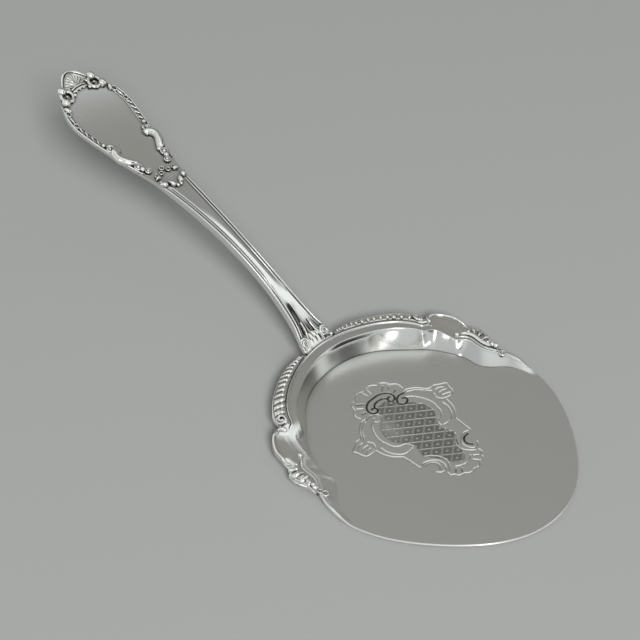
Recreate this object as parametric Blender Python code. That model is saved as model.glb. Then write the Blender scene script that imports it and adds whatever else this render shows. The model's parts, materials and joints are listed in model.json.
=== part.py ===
# Silver tomato server: a flat round blade with a raised scrolled rim at its back, and a
# handle that rises from the rim to a framed, pear-shaped panel.
# Origin: middle of the blade, on its underside. +X: front of the blade. +Z: up.
import math

import bmesh
import bpy

MM = 0.001

# Blade, seen from above an ellipse with eased flanks
BLADE_HALF_WIDTH = 40.0 * MM
BLADE_FRONT = 42.8 * MM
BLADE_BACK = 41.5 * MM
FLANK_EASE = 2.5 * MM
PLATE_THICKNESS = 1.3 * MM
EDGE_ROUND = 0.25 * MM

# Back wall and rim band, with the wall's bend as shares of its run and of its height
RIM_RISE = 6.9 * MM
WALL_THICKNESS = 1.1 * MM
BAND_DROP = 0.35 * MM
COVE_OUT = 0.75
COVE_UP = 0.35

# Border outside the rim band; it slims to a share of its thickness where the wall ends
BORDER_THICKNESS = 1.7 * MM
BORDER_CROWN = 0.45 * MM
BORDER_DROOP = 1.5 * MM
BORDER_SLIM = 0.45
GADROON_COUNT = 15
GADROON_DEPTH = 0.4 * MM

# Top of the border from the rim outwards, as shares of its width, crown, droop and ripple
BORDER_TOP = ((0.25, 1.0, 0.0, 0.5), (0.6, 0.6, 0.35, 1.0), (0.88, 0.0, 0.75, 1.0))
BORDER_UNDER = 0.8

# Handle
HANDLE_LENGTH = 102.5 * MM
HANDLE_RISE = 43.4 * MM
HEEL_SLOPE = 2.06
TIP_SLOPE = 1.25
FOOT_HALF_WIDTH = 5.5 * MM
STEM_HALF_WIDTH = 2.7 * MM
HEEL_LIFT = 0.5 * MM
NECK_HALF_WIDTH = 4.6 * MM
PANEL_HALF_WIDTH = 10.9 * MM
STEM_THICKNESS = 2.9 * MM
PANEL_THICKNESS = 1.7 * MM
HOLLOW = 0.4 * MM

# Handle's section: shares of the half-width, and depth of the belly as shares of the thickness
FACE_SHARES = (-1.0, -0.8, -0.45, 0.0, 0.45, 0.8, 1.0)
BELLY = (
    (0.97, -0.05), (0.8, -0.3), (0.45, -0.45), (0.0, -0.5),
    (-0.45, -0.45), (-0.8, -0.3), (-0.97, -0.05),
)

# Ornaments on the handle; ripples, dishes and tapers are shares of the ornament's own height or width
FRAME_WIDTH = 2.4 * MM
FRAME_HEIGHT = 1.2 * MM
FRAME_BEADS = 9
BEAD_RIPPLE = 0.15
ROSETTE_WIDTH = 4.5 * MM
ROSETTE_HEIGHT = 1.5 * MM
ROSETTE_DISH = 0.55
SHELL_HEIGHT = 1.1 * MM
SHELL_FLUTES = 7
FLUTE_RIPPLE = 0.25
PALMETTE_HEIGHT = 1.3 * MM
PALMETTE_LOBES = 5
PALMETTE_TAPER = 0.3
PALMETTE_BLUNT = 0.08
LOBE_RIPPLE = 0.3
LEAF_HEIGHT = 0.9 * MM
LEAF_HALF_WIDTH = 1.7 * MM
VOLUTE_HEIGHT = 1.1 * MM
VOLUTE_DISH = 0.4
THIN_EDGE = 0.3 * MM
DOME_FULLNESS = 0.7
DISH_SHARPNESS = 6

# Solder seam between neighbouring pieces, and the bare rim left beside the handle's foot
SEAM = 0.25 * MM
FOOT_CLEARANCE = 1.5 * MM

# Fineness: degrees between sections of the blade, points to a bead, flute, lobe or gadroon,
# and the angle in degrees from which an edge is shaded sharp
FINE_STEP = 2.0
COARSE_STEP = 4.0
PER_RIPPLE = 4
SHARP_FROM = 35.0

# Silver finishes, as colour and roughness
POLISHED = ((0.86, 0.855, 0.83), 0.12)
TONED = ((0.78, 0.77, 0.73), 0.2)

# Places along the rim, in degrees from the back of the blade
GADROONS_END = 42.0
BORDER_END = 82.0
RIM_END = 92.0

# Places along the handle, as shares of its length from heel to tip
FOOT_END = 0.08
VOLUTE_START = 0.006
VOLUTE_END = 0.055
LEAF_END = 0.15
STEM_END = 0.45
NECK = 0.555
PANEL_START = 0.66
PALMETTE_START = 0.52
PALMETTE_END = 0.605
FRAME_START = 0.61
ROSETTE_START = 0.918
ROSETTE_END = 0.958
SHELL_START = 0.93
SHELL_END = 0.997

# Rim, as stations of (degrees from the back, value): the wall's height as a share of the
# rise, and widths and offsets from the blade's outline in millimetres
WALL_FALL = (
    (0, 1.0), (25, 0.99), (42, 0.9), (52, 0.67), (62, 0.51), (72, 0.39), (80, 0.26), (89, 0.0),
)
FOOT_INSET = (
    (0, 1.9), (20, 1.7), (35, 2.5), (47, 2.8), (58, 4.2),
    (64, 5.2), (72, 7.2), (78, 6.6), (85, 3.4), (91, 0.9),
)
BAND_PLACE = (
    (0, -0.5), (15, -0.4), (28, 0.3), (34, 0.4), (42, -0.5), (49, 0.5),
    (57, -1.4), (63, -0.9), (71, -2.8), (78, -2.4), (88, -0.6),
)
BAND_WIDTH = ((0, 3.3), (31, 2.6), (42, 2.4), (55, 2.1), (63, 1.7), (77, 1.3), (89, 0.35))
BORDER_WIDTH = (
    (9, 1.2), (16, 2.8), (28, 3.1), (36, 3.4), (43.5, 2.6), (51, 4.2),
    (58, 4.6), (63.5, 2.8), (66.5, 3.9), (70, 3.6), (75, 1.9), (82, 0.8),
)

# Half-widths of the stem and of the panel, as (share of the length, share of the named width)
STEM_SHAPE = ((0.06, 1.42), (0.15, 1.08), (0.27, 1.0), (0.42, 1.25))
PANEL_SHAPE = (
    (0.6, 0.49), (0.66, 0.64), (0.71, 0.76), (0.74, 0.8), (0.8, 0.93), (0.85, 1.0),
    (0.89, 0.95), (0.925, 0.83), (0.95, 0.66), (0.972, 0.41), (0.99, 0.2), (1.0, 0.08),
)


def clear_scene():
    for old in list(bpy.data.objects):
        bpy.data.objects.remove(old, do_unlink=True)


def silver(name, finish):
    colour, roughness = finish
    material = bpy.data.materials.new(name)
    material.use_nodes = True
    shader = material.node_tree.nodes["Principled BSDF"]
    shader.inputs["Base Color"].default_value = (*colour, 1.0)
    shader.inputs["Metallic"].default_value = 1.0
    shader.inputs["Roughness"].default_value = roughness
    return material


def smooth_curve(stations):
    """A function through the stations, flat beyond them, with a continuous slope."""
    places = [place for place, _ in stations]
    values = [value for _, value in stations]
    last = len(places) - 1
    slopes = [0.0] * (last + 1)
    for i in range(1, last):
        slopes[i] = (values[i + 1] - values[i - 1]) / (places[i + 1] - places[i - 1])

    def value_at(place):
        if place <= places[0]:
            return values[0]
        if place >= places[last]:
            return values[last]
        i = max(k for k in range(last) if places[k] <= place)
        run = places[i + 1] - places[i]
        t = (place - places[i]) / run
        return hermite(t, values[i], values[i + 1], slopes[i] * run, slopes[i + 1] * run)

    return value_at


def hermite(t, start, end, start_slope, end_slope):
    return (
        (2 * t**3 - 3 * t**2 + 1) * start
        + (t**3 - 2 * t**2 + t) * start_slope
        + (3 * t**2 - 2 * t**3) * end
        + (t**3 - t**2) * end_slope
    )


def hermite_slope(t, start, end, start_slope, end_slope):
    return (
        (6 * t**2 - 6 * t) * (start - end)
        + (3 * t**2 - 4 * t + 1) * start_slope
        + (3 * t**2 - 2 * t) * end_slope
    )


def spread(start, end, steps):
    return [start + (end - start) * i / steps for i in range(steps + 1)]


def loft(name, sections, material, parts):
    """A closed body through sections that have the same number of points."""
    mesh = bpy.data.meshes.new(name)
    body = bmesh.new()
    rows = [[body.verts.new(point) for point in section] for section in sections]
    count = len(rows[0])
    for first, second in zip(rows, rows[1:]):
        for k in range(count):
            after = (k + 1) % count
            body.faces.new((first[k], first[after], second[after], second[k]))
    cap(body, rows[0])
    cap(body, rows[-1])
    bmesh.ops.recalc_face_normals(body, faces=body.faces)
    body.to_mesh(mesh)
    body.free()
    return add_part(name, mesh, material, parts)


def cap(body, row):
    """Closes an end in strips from its upper to its lower edge, so that a curved end stays curved."""
    last = len(row) - 1
    for k in range(last // 2):
        corners = dict.fromkeys((row[k], row[k + 1], row[last - 1 - k], row[last - k]))
        body.faces.new(list(corners))


def add_part(name, mesh, material, parts):
    mesh.materials.append(material)
    mesh.shade_smooth()
    mesh.set_sharp_from_angle(angle=math.radians(SHARP_FROM))
    piece = bpy.data.objects.new(name, mesh)
    parts.objects.link(piece)
    return piece


wall_fall = smooth_curve(WALL_FALL)
foot_inset = smooth_curve(FOOT_INSET)
band_place = smooth_curve(BAND_PLACE)
band_width = smooth_curve(BAND_WIDTH)
border_width = smooth_curve(BORDER_WIDTH)


def edge_radius(angle):
    """Plan radius of the blade's own outline, with the angle in degrees from the back."""
    turn = math.radians(angle)
    reach = BLADE_BACK if math.cos(turn) > 0 else BLADE_FRONT
    ellipse = 1 / math.hypot(math.cos(turn) / reach, math.sin(turn) / BLADE_HALF_WIDTH)
    return ellipse - FLANK_EASE * math.sin(2 * turn) ** 2


def ridge_radius(angle):
    return edge_radius(angle) + (band_place(angle) + band_width(angle)) * MM


def seat_radius(angle):
    """Plan radius of what is soldered to the outside of the rim band."""
    return ridge_radius(angle) + EDGE_ROUND + SEAM


border_start = math.degrees(math.asin((FOOT_HALF_WIDTH + FOOT_CLEARANCE) / seat_radius(0)))


def ridge_height(angle):
    return PLATE_THICKNESS + RIM_RISE * wall_fall(angle)


def around(angle, radius, height):
    turn = math.radians(angle)
    return (-radius * math.cos(turn), radius * math.sin(turn), height)


def blade_section(angle):
    """Points from the plate's top, over wall and band, and back to the underside."""
    side = abs(angle)
    rise = wall_fall(side)
    edge = edge_radius(side)
    foot = edge - foot_inset(side) * MM
    inner = edge + band_place(side) * MM
    ridge = ridge_radius(side)
    top = ridge_height(side)
    band = top - BAND_DROP * rise
    cove = foot + COVE_OUT * (inner - foot)
    cove_top = PLATE_THICKNESS + COVE_UP * (band - PLATE_THICKNESS)
    wall = WALL_THICKNESS * rise
    return [
        around(angle, foot, PLATE_THICKNESS),
        around(angle, cove, cove_top),
        around(angle, inner, band),
        around(angle, ridge, top),
        around(angle, ridge + EDGE_ROUND, top - PLATE_THICKNESS / 2),
        around(angle, ridge, top - PLATE_THICKNESS),
        around(angle, inner + wall, band - PLATE_THICKNESS),
        around(angle, cove + wall, cove_top - PLATE_THICKNESS),
        around(angle, foot, 0.0),
    ]


def make_blade(material, parts):
    back = spread(-RIM_END, RIM_END, round(2 * RIM_END / FINE_STEP))
    front = spread(RIM_END, 360 - RIM_END, round((360 - 2 * RIM_END) / COARSE_STEP))[1:-1]
    sections = [blade_section(angle if angle <= 180 else angle - 360) for angle in back + front]
    columns = len(sections)
    body = bmesh.new()
    rows = [[body.verts.new(point) for point in section] for section in sections]
    for i in range(columns):
        first = rows[i]
        second = rows[(i + 1) % columns]
        for k in range(len(first) - 1):
            body.faces.new((first[k], first[k + 1], second[k + 1], second[k]))
    body.faces.new([row[0] for row in rows])
    body.faces.new([row[-1] for row in rows])
    bmesh.ops.recalc_face_normals(body, faces=body.faces)
    mesh = bpy.data.meshes.new("blade")
    body.to_mesh(mesh)
    body.free()
    return add_part("blade", mesh, material, parts)


def border_section(angle, side):
    inner = seat_radius(angle)
    width = border_width(angle) * MM
    top = ridge_height(angle)
    ripple = 0.0
    if angle < GADROONS_END:
        share = (angle - border_start) / (GADROONS_END - border_start)
        ripple = GADROON_DEPTH * (abs(math.sin(math.pi * GADROON_COUNT * share)) - 0.5)
    rise = wall_fall(angle)
    droop = BORDER_DROOP * rise
    thick = BORDER_THICKNESS * (BORDER_SLIM + (1 - BORDER_SLIM) * rise)
    outer = inner + width + ripple / 2
    under = top - droop - thick
    turn = side * angle
    crest = [
        around(
            turn,
            inner + out * width + ripple / 2,
            top + crown * BORDER_CROWN - fall * droop + wave * ripple,
        )
        for out, crown, fall, wave in BORDER_TOP
    ]
    return [
        around(turn, inner, top - droop / 2 - thick),
        around(turn, inner, top - EDGE_ROUND),
        *crest,
        around(turn, outer, (crest[-1][2] + under) / 2),
        around(turn, inner + BORDER_UNDER * width + ripple / 2, under),
    ]


def make_border(name, side, material, parts):
    scroll_steps = 32
    gadroons = spread(border_start, GADROONS_END, GADROON_COUNT * PER_RIPPLE)
    scrolls = spread(GADROONS_END, BORDER_END, scroll_steps)[1:]
    sections = [border_section(angle, side) for angle in gadroons + scrolls]
    return loft(name, sections, material, parts)


half_width = smooth_curve(
    ((0.0, FOOT_HALF_WIDTH),)
    + tuple((place, share * STEM_HALF_WIDTH) for place, share in STEM_SHAPE)
    + ((NECK, NECK_HALF_WIDTH),)
    + tuple((place, share * PANEL_HALF_WIDTH) for place, share in PANEL_SHAPE)
)
thickness = smooth_curve(
    (
        (0.0, STEM_THICKNESS),
        (STEM_END, STEM_THICKNESS),
        (PANEL_START, PANEL_THICKNESS),
        (1.0, PANEL_THICKNESS),
    )
)

heel_reach = seat_radius(0)
heel_height = ridge_height(0) + HEEL_LIFT - STEM_THICKNESS / 2


def face_height(place, across):
    """Height of the handle's hollowed upper face above its middle line."""
    share = min(1.0, abs(across) / half_width(place))
    return thickness(place) / 2 - HOLLOW * (1 - share**2)


def on_handle(place, across, height):
    """A point at a share of the length, a distance sideways and a height above the middle line."""
    slopes = (HEEL_SLOPE, TIP_SLOPE)
    rise = HANDLE_RISE * hermite(place, 0.0, 1.0, *slopes)
    grade = HANDLE_RISE * hermite_slope(place, 0.0, 1.0, *slopes) / HANDLE_LENGTH
    foot = max(0.0, 1 - place / FOOT_END)
    tilt = math.atan(grade) * (1 - foot)
    turn = math.asin(across / heel_reach)
    lead = (heel_reach - seat_radius(math.degrees(abs(turn))) * math.cos(turn)) * foot
    return (
        lead - heel_reach - place * HANDLE_LENGTH + height * math.sin(tilt),
        across,
        heel_height + rise + height * math.cos(tilt),
    )


def handle_section(place):
    width = half_width(place)
    thick = thickness(place)
    upper = [on_handle(place, share * width, face_height(place, share * width)) for share in FACE_SHARES]
    lower = [on_handle(place, share * width, depth * thick) for share, depth in BELLY]
    return upper + lower


def make_handle(material, parts):
    stem_steps = 30
    panel_steps = 30
    places = spread(0.0, PALMETTE_END, stem_steps) + spread(PALMETTE_END, 1.0, panel_steps)[1:]
    return loft("handle", [handle_section(place) for place in places], material, parts)


def seated(name, places, span, height, columns, material, parts):
    """A piece whose underside follows the handle's face one seam above it."""
    sections = []
    for place in places:
        low, high = span(place)
        acrosses = spread(low, high, columns)
        under = [on_handle(place, across, face_height(place, across) + SEAM) for across in acrosses]
        over = [
            on_handle(place, across, face_height(place, across) + SEAM + height(place, k / columns))
            for k, across in enumerate(acrosses)
        ]
        sections.append(under + over[::-1])
    return loft(name, sections, material, parts)


def share_of(place, start, end):
    return min(1.0, max(0.0, (place - start) / (end - start)))


def domed(across):
    return math.sin(math.pi * across) ** DOME_FULLNESS if 0 < across < 1 else 0.0


def rippled(ripple, turns):
    return 1 - ripple + ripple * math.cos(2 * math.pi * turns)


def dished(dome, dish):
    return dome * (1 - dish * dome**DISH_SHARPNESS)


def mirrored(span, side):
    if side > 0:
        return span

    def other_side(place):
        low, high = span(place)
        return -high, -low

    return other_side


def make_frame(name, side, material, parts):
    def span(place):
        outer = half_width(place)
        return outer - FRAME_WIDTH, outer

    def height(place, across):
        along = share_of(place, FRAME_START, ROSETTE_START)
        beads = rippled(BEAD_RIPPLE, FRAME_BEADS * along)
        return THIN_EDGE + (FRAME_HEIGHT - THIN_EDGE) * beads * domed(across)

    end = ROSETTE_START - SEAM / HANDLE_LENGTH
    places = spread(FRAME_START, end, FRAME_BEADS * PER_RIPPLE)
    columns = 6
    return seated(name, places, mirrored(span, side), height, columns, material, parts)


def make_rosette(name, side, material, parts):
    def span(place):
        outer = half_width(place)
        return outer - ROSETTE_WIDTH, outer

    def height(place, across):
        along = share_of(place, ROSETTE_START, ROSETTE_END)
        ring = dished(domed(along) * domed(across), ROSETTE_DISH)
        return THIN_EDGE + (ROSETTE_HEIGHT - THIN_EDGE) * ring

    columns = 10
    places = spread(ROSETTE_START, ROSETTE_END, columns)
    return seated(name, places, mirrored(span, side), height, columns, material, parts)


def make_shell(material, parts):
    seam = SEAM / HANDLE_LENGTH
    clear = ROSETTE_END + seam

    def span(place):
        between = half_width(place) - ROSETTE_WIDTH - 2 * SEAM
        reach = between if place <= clear else half_width(place)
        return -reach, reach

    def height(place, across):
        flutes = rippled(FLUTE_RIPPLE, SHELL_FLUTES * across)
        return THIN_EDGE + (SHELL_HEIGHT - THIN_EDGE) * flutes * domed(across)

    neck_steps = 6
    fan_steps = 8
    places = spread(SHELL_START, clear, neck_steps) + spread(clear + seam, SHELL_END, fan_steps)
    return seated("tip_shell", places, span, height, SHELL_FLUTES * PER_RIPPLE, material, parts)


def make_palmette(material, parts):
    def span(place):
        reach = half_width(place) * (1 - PALMETTE_TAPER * share_of(place, PALMETTE_START, PALMETTE_END))
        return -reach, reach

    def height(place, across):
        lobes = rippled(LOBE_RIPPLE, PALMETTE_LOBES * (across - 0.5))
        along = share_of(place, PALMETTE_START, PALMETTE_END)
        blunt = domed(PALMETTE_BLUNT + (1 - 2 * PALMETTE_BLUNT) * along)
        return THIN_EDGE + (PALMETTE_HEIGHT - THIN_EDGE) * lobes * blunt * domed(across)

    steps = 12
    places = spread(PALMETTE_START, PALMETTE_END, steps)
    return seated("base_palmette", places, span, height, PALMETTE_LOBES * PER_RIPPLE, material, parts)


def leaf_reach(place):
    return LEAF_HALF_WIDTH * (1 - share_of(place, VOLUTE_START, LEAF_END) ** 2) + THIN_EDGE


def make_leaf(material, parts):
    def span(place):
        return -leaf_reach(place), leaf_reach(place)

    def height(place, across):
        return THIN_EDGE + (LEAF_HEIGHT - THIN_EDGE) * domed(across)

    steps = 16
    columns = 6
    places = spread(VOLUTE_START, LEAF_END, steps)
    return seated("heel_leaf", places, span, height, columns, material, parts)


def make_volute(name, side, material, parts):
    def span(place):
        return leaf_reach(place) + SEAM, half_width(place)

    def height(place, across):
        along = share_of(place, VOLUTE_START, VOLUTE_END)
        ring = dished(domed(along) * domed(across), VOLUTE_DISH)
        return THIN_EDGE + (VOLUTE_HEIGHT - THIN_EDGE) * ring

    steps = 10
    columns = 8
    places = spread(VOLUTE_START, VOLUTE_END, steps)
    return seated(name, places, mirrored(span, side), height, columns, material, parts)


def main():
    clear_scene()
    parts = bpy.data.collections.new("tomato_server")
    bpy.context.scene.collection.children.link(parts)
    make_blade(silver("blade_silver", POLISHED), parts)
    make_handle(silver("handle_silver", POLISHED), parts)
    make_shell(silver("shell_silver", TONED), parts)
    make_palmette(silver("palmette_silver", TONED), parts)
    make_leaf(silver("leaf_silver", TONED), parts)
    for name, side in (("right", 1), ("left", -1)):
        make_border("rim_border_" + name, side, silver("border_silver_" + name, TONED), parts)
        make_frame("frame_" + name, side, silver("frame_silver_" + name, TONED), parts)
        make_rosette("tip_rosette_" + name, side, silver("rosette_silver_" + name, TONED), parts)
        make_volute("heel_volute_" + name, side, silver("volute_silver_" + name, TONED), parts)


main()
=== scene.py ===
import json
import math

import bmesh
import bpy
import numpy as np
from mathutils import Matrix, Vector

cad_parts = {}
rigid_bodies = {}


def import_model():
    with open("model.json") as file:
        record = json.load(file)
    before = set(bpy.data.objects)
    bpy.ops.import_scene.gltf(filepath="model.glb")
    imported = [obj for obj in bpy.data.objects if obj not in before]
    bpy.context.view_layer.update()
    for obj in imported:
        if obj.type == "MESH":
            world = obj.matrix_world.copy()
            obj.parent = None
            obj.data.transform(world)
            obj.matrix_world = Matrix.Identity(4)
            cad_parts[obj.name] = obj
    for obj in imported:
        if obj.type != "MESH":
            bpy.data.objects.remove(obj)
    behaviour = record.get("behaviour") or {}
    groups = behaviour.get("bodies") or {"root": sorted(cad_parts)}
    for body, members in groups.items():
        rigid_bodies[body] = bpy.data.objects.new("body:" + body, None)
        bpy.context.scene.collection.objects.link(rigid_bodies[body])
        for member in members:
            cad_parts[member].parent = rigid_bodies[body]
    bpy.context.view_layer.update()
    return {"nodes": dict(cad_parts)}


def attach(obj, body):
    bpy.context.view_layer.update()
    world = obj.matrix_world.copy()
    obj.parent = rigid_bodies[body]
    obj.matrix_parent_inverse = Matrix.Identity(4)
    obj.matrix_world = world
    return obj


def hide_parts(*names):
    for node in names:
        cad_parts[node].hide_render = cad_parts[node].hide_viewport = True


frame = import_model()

mm = 0.001
bpy.ops.object.select_all(action="DESELECT")
print("frame loaded:", len(frame["nodes"]), "nodes")


# curves through a few stations, and small number helpers

def hermite(t, start, end, startSlope, endSlope):
    rest = 1 - t
    return (
        rest * rest * (1 + 2 * t) * start
        + t * t * (3 - 2 * t) * end
        + t * rest * rest * startSlope
        - t * t * rest * endSlope
    )


def smoothCurve(stations):
    places, values = zip(*stations)
    last = len(places) - 1
    slopes = [0.0] * (last + 1)
    for i in range(1, last):
        slopes[i] = (values[i + 1] - values[i - 1]) / (places[i + 1] - places[i - 1])

    def valueAt(place):
        if place <= places[0]:
            return values[0]
        if place >= places[last]:
            return values[last]
        i = max(k for k in range(last) if places[k] <= place)
        run = places[i + 1] - places[i]
        t = (place - places[i]) / run
        return hermite(t, values[i], values[i + 1], slopes[i] * run, slopes[i + 1] * run)

    return valueAt


def spread(start, end, steps):
    return [start + (end - start) * i / steps for i in range(steps + 1)]


def ease(value, low, high):
    t = min(1.0, max(0.0, (value - low) / (high - low)))
    return t * t * (3 - 2 * t)


def between(value, start, end):
    # up to 1 over the start and down again over the end
    return ease(value, *start) * (1 - ease(value, *end))


def throughPoints(points, perStep=6):
    # rounded line through given points
    padded = [points[0]] + list(points) + [points[-1]]
    line = []
    for before, start, end, after in zip(padded, padded[1:], padded[2:], padded[3:]):
        for k in range(perStep):
            spot = [
                hermite(k / perStep, b, c, (c - a) / 2, (d - b) / 2)
                for a, b, c, d in zip(before, start, end, after)
            ]
            line.append(tuple(spot))
    return line + [tuple(points[-1])]


def spiral(startRadius, endRadius, startTurn, turns):
    line = []
    for t in spread(0.0, 1.0, 28):
        radius = startRadius + (endRadius - startRadius) * t
        turn = math.radians(startTurn + 360 * turns * t)
        line.append((radius * math.cos(turn), radius * math.sin(turn)))
    return line


# modelling helpers

modelling = {"seam": 0.000001, "sharp": 50, "wireSharp": 60, "wireTaper": 4}


def activate(piece):
    bpy.ops.object.select_all(action="DESELECT")
    piece.select_set(True)
    bpy.context.view_layer.objects.active = piece


def editWhole(piece):
    activate(piece)
    bpy.ops.object.mode_set(mode="EDIT")
    bpy.ops.mesh.select_mode(type="EDGE")
    bpy.ops.mesh.select_all(action="SELECT")


def leaveEdit():
    bpy.ops.object.mode_set(mode="OBJECT")


def selectRim():
    # the open edge of a mesh
    bpy.ops.mesh.select_all(action="DESELECT")
    bpy.ops.mesh.select_non_manifold()


def sealSkin(piece, sharp):
    # merge the seam, fill the open ends, turn the faces outwards
    editWhole(piece)
    bpy.ops.mesh.remove_doubles(threshold=modelling["seam"])
    selectRim()
    bpy.ops.mesh.fill_holes(sides=0)
    bpy.ops.mesh.select_all(action="SELECT")
    bpy.ops.mesh.normals_make_consistent(inside=False)
    leaveEdit()
    bpy.ops.object.shade_smooth_by_angle(angle=math.radians(sharp))
    return piece


def addGrid(name, across, along):
    # a flat grid, and where its corners lie from -1 to 1
    bpy.ops.mesh.primitive_grid_add(x_subdivisions=across, y_subdivisions=along, size=2)
    piece = bpy.context.object
    piece.name = name
    spots = np.empty(len(piece.data.vertices) * 3)
    piece.data.vertices.foreach_get("co", spots)
    u, v = spots.reshape(-1, 3).T[:2]
    return piece, u, v


def layRows(name, rows, sharp=modelling["sharp"]):
    # a grid laid over closed sections, one row of the grid to each section
    table = np.array([list(row) + [row[0]] for row in rows], float) * mm
    along = table.shape[0] - 1
    across = table.shape[1] - 1
    piece, u, v = addGrid(name, across, along)
    column = np.rint((u + 1) / 2 * across).astype(int)
    row = np.rint((v + 1) / 2 * along).astype(int)
    piece.data.vertices.foreach_set("co", table[row, column].ravel())
    return sealSkin(piece, sharp)


def drawWire(name, points, radii, resolution=2):
    # a round wire along a line, thick or thin from point to point
    curve = bpy.data.curves.new(name, "CURVE")
    curve.dimensions = "3D"
    curve.bevel_depth = mm
    curve.bevel_resolution = resolution
    curve.use_fill_caps = True
    line = curve.splines.new("POLY")
    line.points.add(len(points) - 1)
    for spot, place, radius in zip(line.points, points, radii):
        spot.co = (*(Vector(place) * mm), 1)
        spot.radius = radius
    wire = bpy.data.objects.new(name, curve)
    bpy.context.collection.objects.link(wire)
    activate(wire)
    bpy.ops.object.convert(target="MESH")
    return sealSkin(bpy.context.object, modelling["wireSharp"])


def taperedWire(name, points, thick, startShare=0.5, endShare=0.5):
    count = len(points)
    taper = modelling["wireTaper"]
    radii = [
        thick * min(1.0, startShare + taper * i / count, endShare + taper * (count - 1 - i) / count)
        for i in range(count)
    ]
    return drawWire(name, points, radii)


def standOn(origin, ahead, beside, turn):
    # X ahead, Z up off the surface, then turned about Z
    upward = ahead.cross(beside).normalized()
    if upward.z < 0:
        upward.negate()
    axes = Matrix((ahead, upward.cross(ahead), upward)).transposed().to_4x4()
    return Matrix.Translation(origin * mm) @ axes @ Matrix.Rotation(math.radians(turn), 4, "Z")


def stamp(model, place, size):
    # a copy of a small model with its own mesh, laid at a place
    copy = bpy.data.objects.new(model.name, model.data.copy())
    bpy.context.collection.objects.link(copy)
    copy.data.transform(place @ Matrix.Diagonal((*(Vector(size) * mm), 1)))
    return copy


def stampRow(model, frameAt, spots, lift, shape=(1, 1, 1)):
    # one copy at every spot: place, across, size and perhaps a turn
    copies = []
    for place, across, size, *turn in spots:
        copies.append(stamp(model, frameAt(place, across, lift, *turn), [size * part for part in shape]))
    return copies


def bothSides(spots):
    # each spot off the middle line gets its twin
    paired = []
    for place, across, size in spots:
        paired += [(place, side * across, size) for side in ((1, -1) if across else (1,))]
    return paired


def joinPieces(name, pieces):
    bpy.ops.object.select_all(action="DESELECT")
    for piece in pieces:
        piece.select_set(True)
    bpy.context.view_layer.objects.active = pieces[0]
    bpy.ops.object.join()
    joined = bpy.context.object
    joined.name = name
    joined.data.name = name
    return joined


def mirrorPiece(piece, name):
    twin = bpy.data.objects.new(name, piece.data.copy())
    bpy.context.collection.objects.link(twin)
    twin.data.name = name
    twin.data.transform(Matrix.Diagonal((1, -1, 1, 1)))
    twin.data.flip_normals()
    return twin


# small cast ornaments, modelled once at unit size and copied

ornament = {
    "beadCells": (18, 12), "beadCut": -0.45, "dropCells": (16, 12), "dropWidth": (0.62, 0.38),
    "dropHeight": (0.55, 0.45), "ringCells": (24, 10), "ringRadius": 0.77, "ringThick": 0.25,
    "ringTall": 1.25, "eyeCells": (12, 8), "eyeRadius": 0.2, "eyeTall": 0.8,
}


def addBall(name, cells, radius=1.0):
    bpy.ops.mesh.primitive_uv_sphere_add(segments=cells[0], ring_count=cells[1], radius=radius)
    ball = bpy.context.object
    ball.name = name
    return ball


def stretchUp(piece, tall):
    editWhole(piece)
    bpy.ops.transform.resize(value=(1, 1, tall))
    leaveEdit()
    bpy.ops.object.shade_smooth()
    return piece


def modelBead():
    bead = addBall("bead", ornament["beadCells"])
    editWhole(bead)
    cut = (0, 0, ornament["beadCut"])
    bpy.ops.mesh.bisect(plane_co=cut, plane_no=(0, 0, 1), use_fill=True, clear_inner=True)
    leaveEdit()
    bpy.ops.object.shade_smooth_by_angle(angle=math.radians(modelling["sharp"]))
    return bead


def modelDrop():
    # fat at +X, drawn out to a tail at -X
    drop = addBall("drop", ornament["dropCells"])
    waist, swell = ornament["dropWidth"]
    low, share = ornament["dropHeight"]
    for spot in drop.data.vertices:
        slim = waist + swell * spot.co.x
        spot.co.y *= slim
        spot.co.z *= low + share * slim
    bpy.ops.object.shade_smooth()
    return drop


def modelRing():
    # a raised ring round a hollow with a small eye
    segments, sides = ornament["ringCells"]
    bpy.ops.mesh.primitive_torus_add(
        major_segments=segments, minor_segments=sides,
        major_radius=ornament["ringRadius"], minor_radius=ornament["ringThick"],
    )
    ring = stretchUp(bpy.context.object, ornament["ringTall"])
    eye = stretchUp(addBall("eye", ornament["eyeCells"], ornament["eyeRadius"]), ornament["eyeTall"])
    return joinPieces("ring", [ring, eye])


beadModel = modelBead()
dropModel = modelDrop()
ringModel = modelRing()
print("small ornaments modelled")


# rim of the blade: millimetres, and degrees from the back

rim = {
    "halfWidth": 40.0, "front": 42.8, "back": 41.5, "ease": 2.5,
    "plate": 1.3, "rise": 6.9, "bandDrop": 0.35, "lip": 0.25, "wall": 1.1, "seam": 0.25,
    "wallFall": (
        (0, 1.0), (25, 0.99), (42, 0.9), (52, 0.67), (62, 0.51), (72, 0.39), (80, 0.3), (86, 0.255),
        (89, 0.17), (92, 0.09), (98, 0.0),
    ),
    "footInset": (
        (0, 2.3), (20, 2.1), (35, 2.9), (47, 3.0), (58, 4.2), (64, 5.2), (72, 7.2), (78, 6.6), (85, 3.8),
        (91, 2.3), (98, 1.2), (104, 0.9),
    ),
    "bandPlace": (
        (0, -0.5), (15, -0.6), (28, -0.1), (34, 0.0), (40.5, -0.5), (43.5, -1.0), (46, -0.2), (49.5, 0.4),
        (55, -0.9), (58.5, -1.9), (61, -1.3), (64, -0.9), (71, -2.8), (78, -2.2), (84, -1.3), (92, -0.75),
        (98, -0.6),
    ),
    "bandWidth": (
        (0, 3.3), (15, 3.3), (31, 3.0), (42, 2.6), (55, 2.1), (63, 1.7), (77, 1.4), (84, 1.1), (92, 0.5),
        (98, 0.35),
    ),
}
wallFall = smoothCurve(rim["wallFall"])
footInset = smoothCurve(rim["footInset"])
bandPlace = smoothCurve(rim["bandPlace"])
bandWidth = smoothCurve(rim["bandWidth"])


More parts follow.
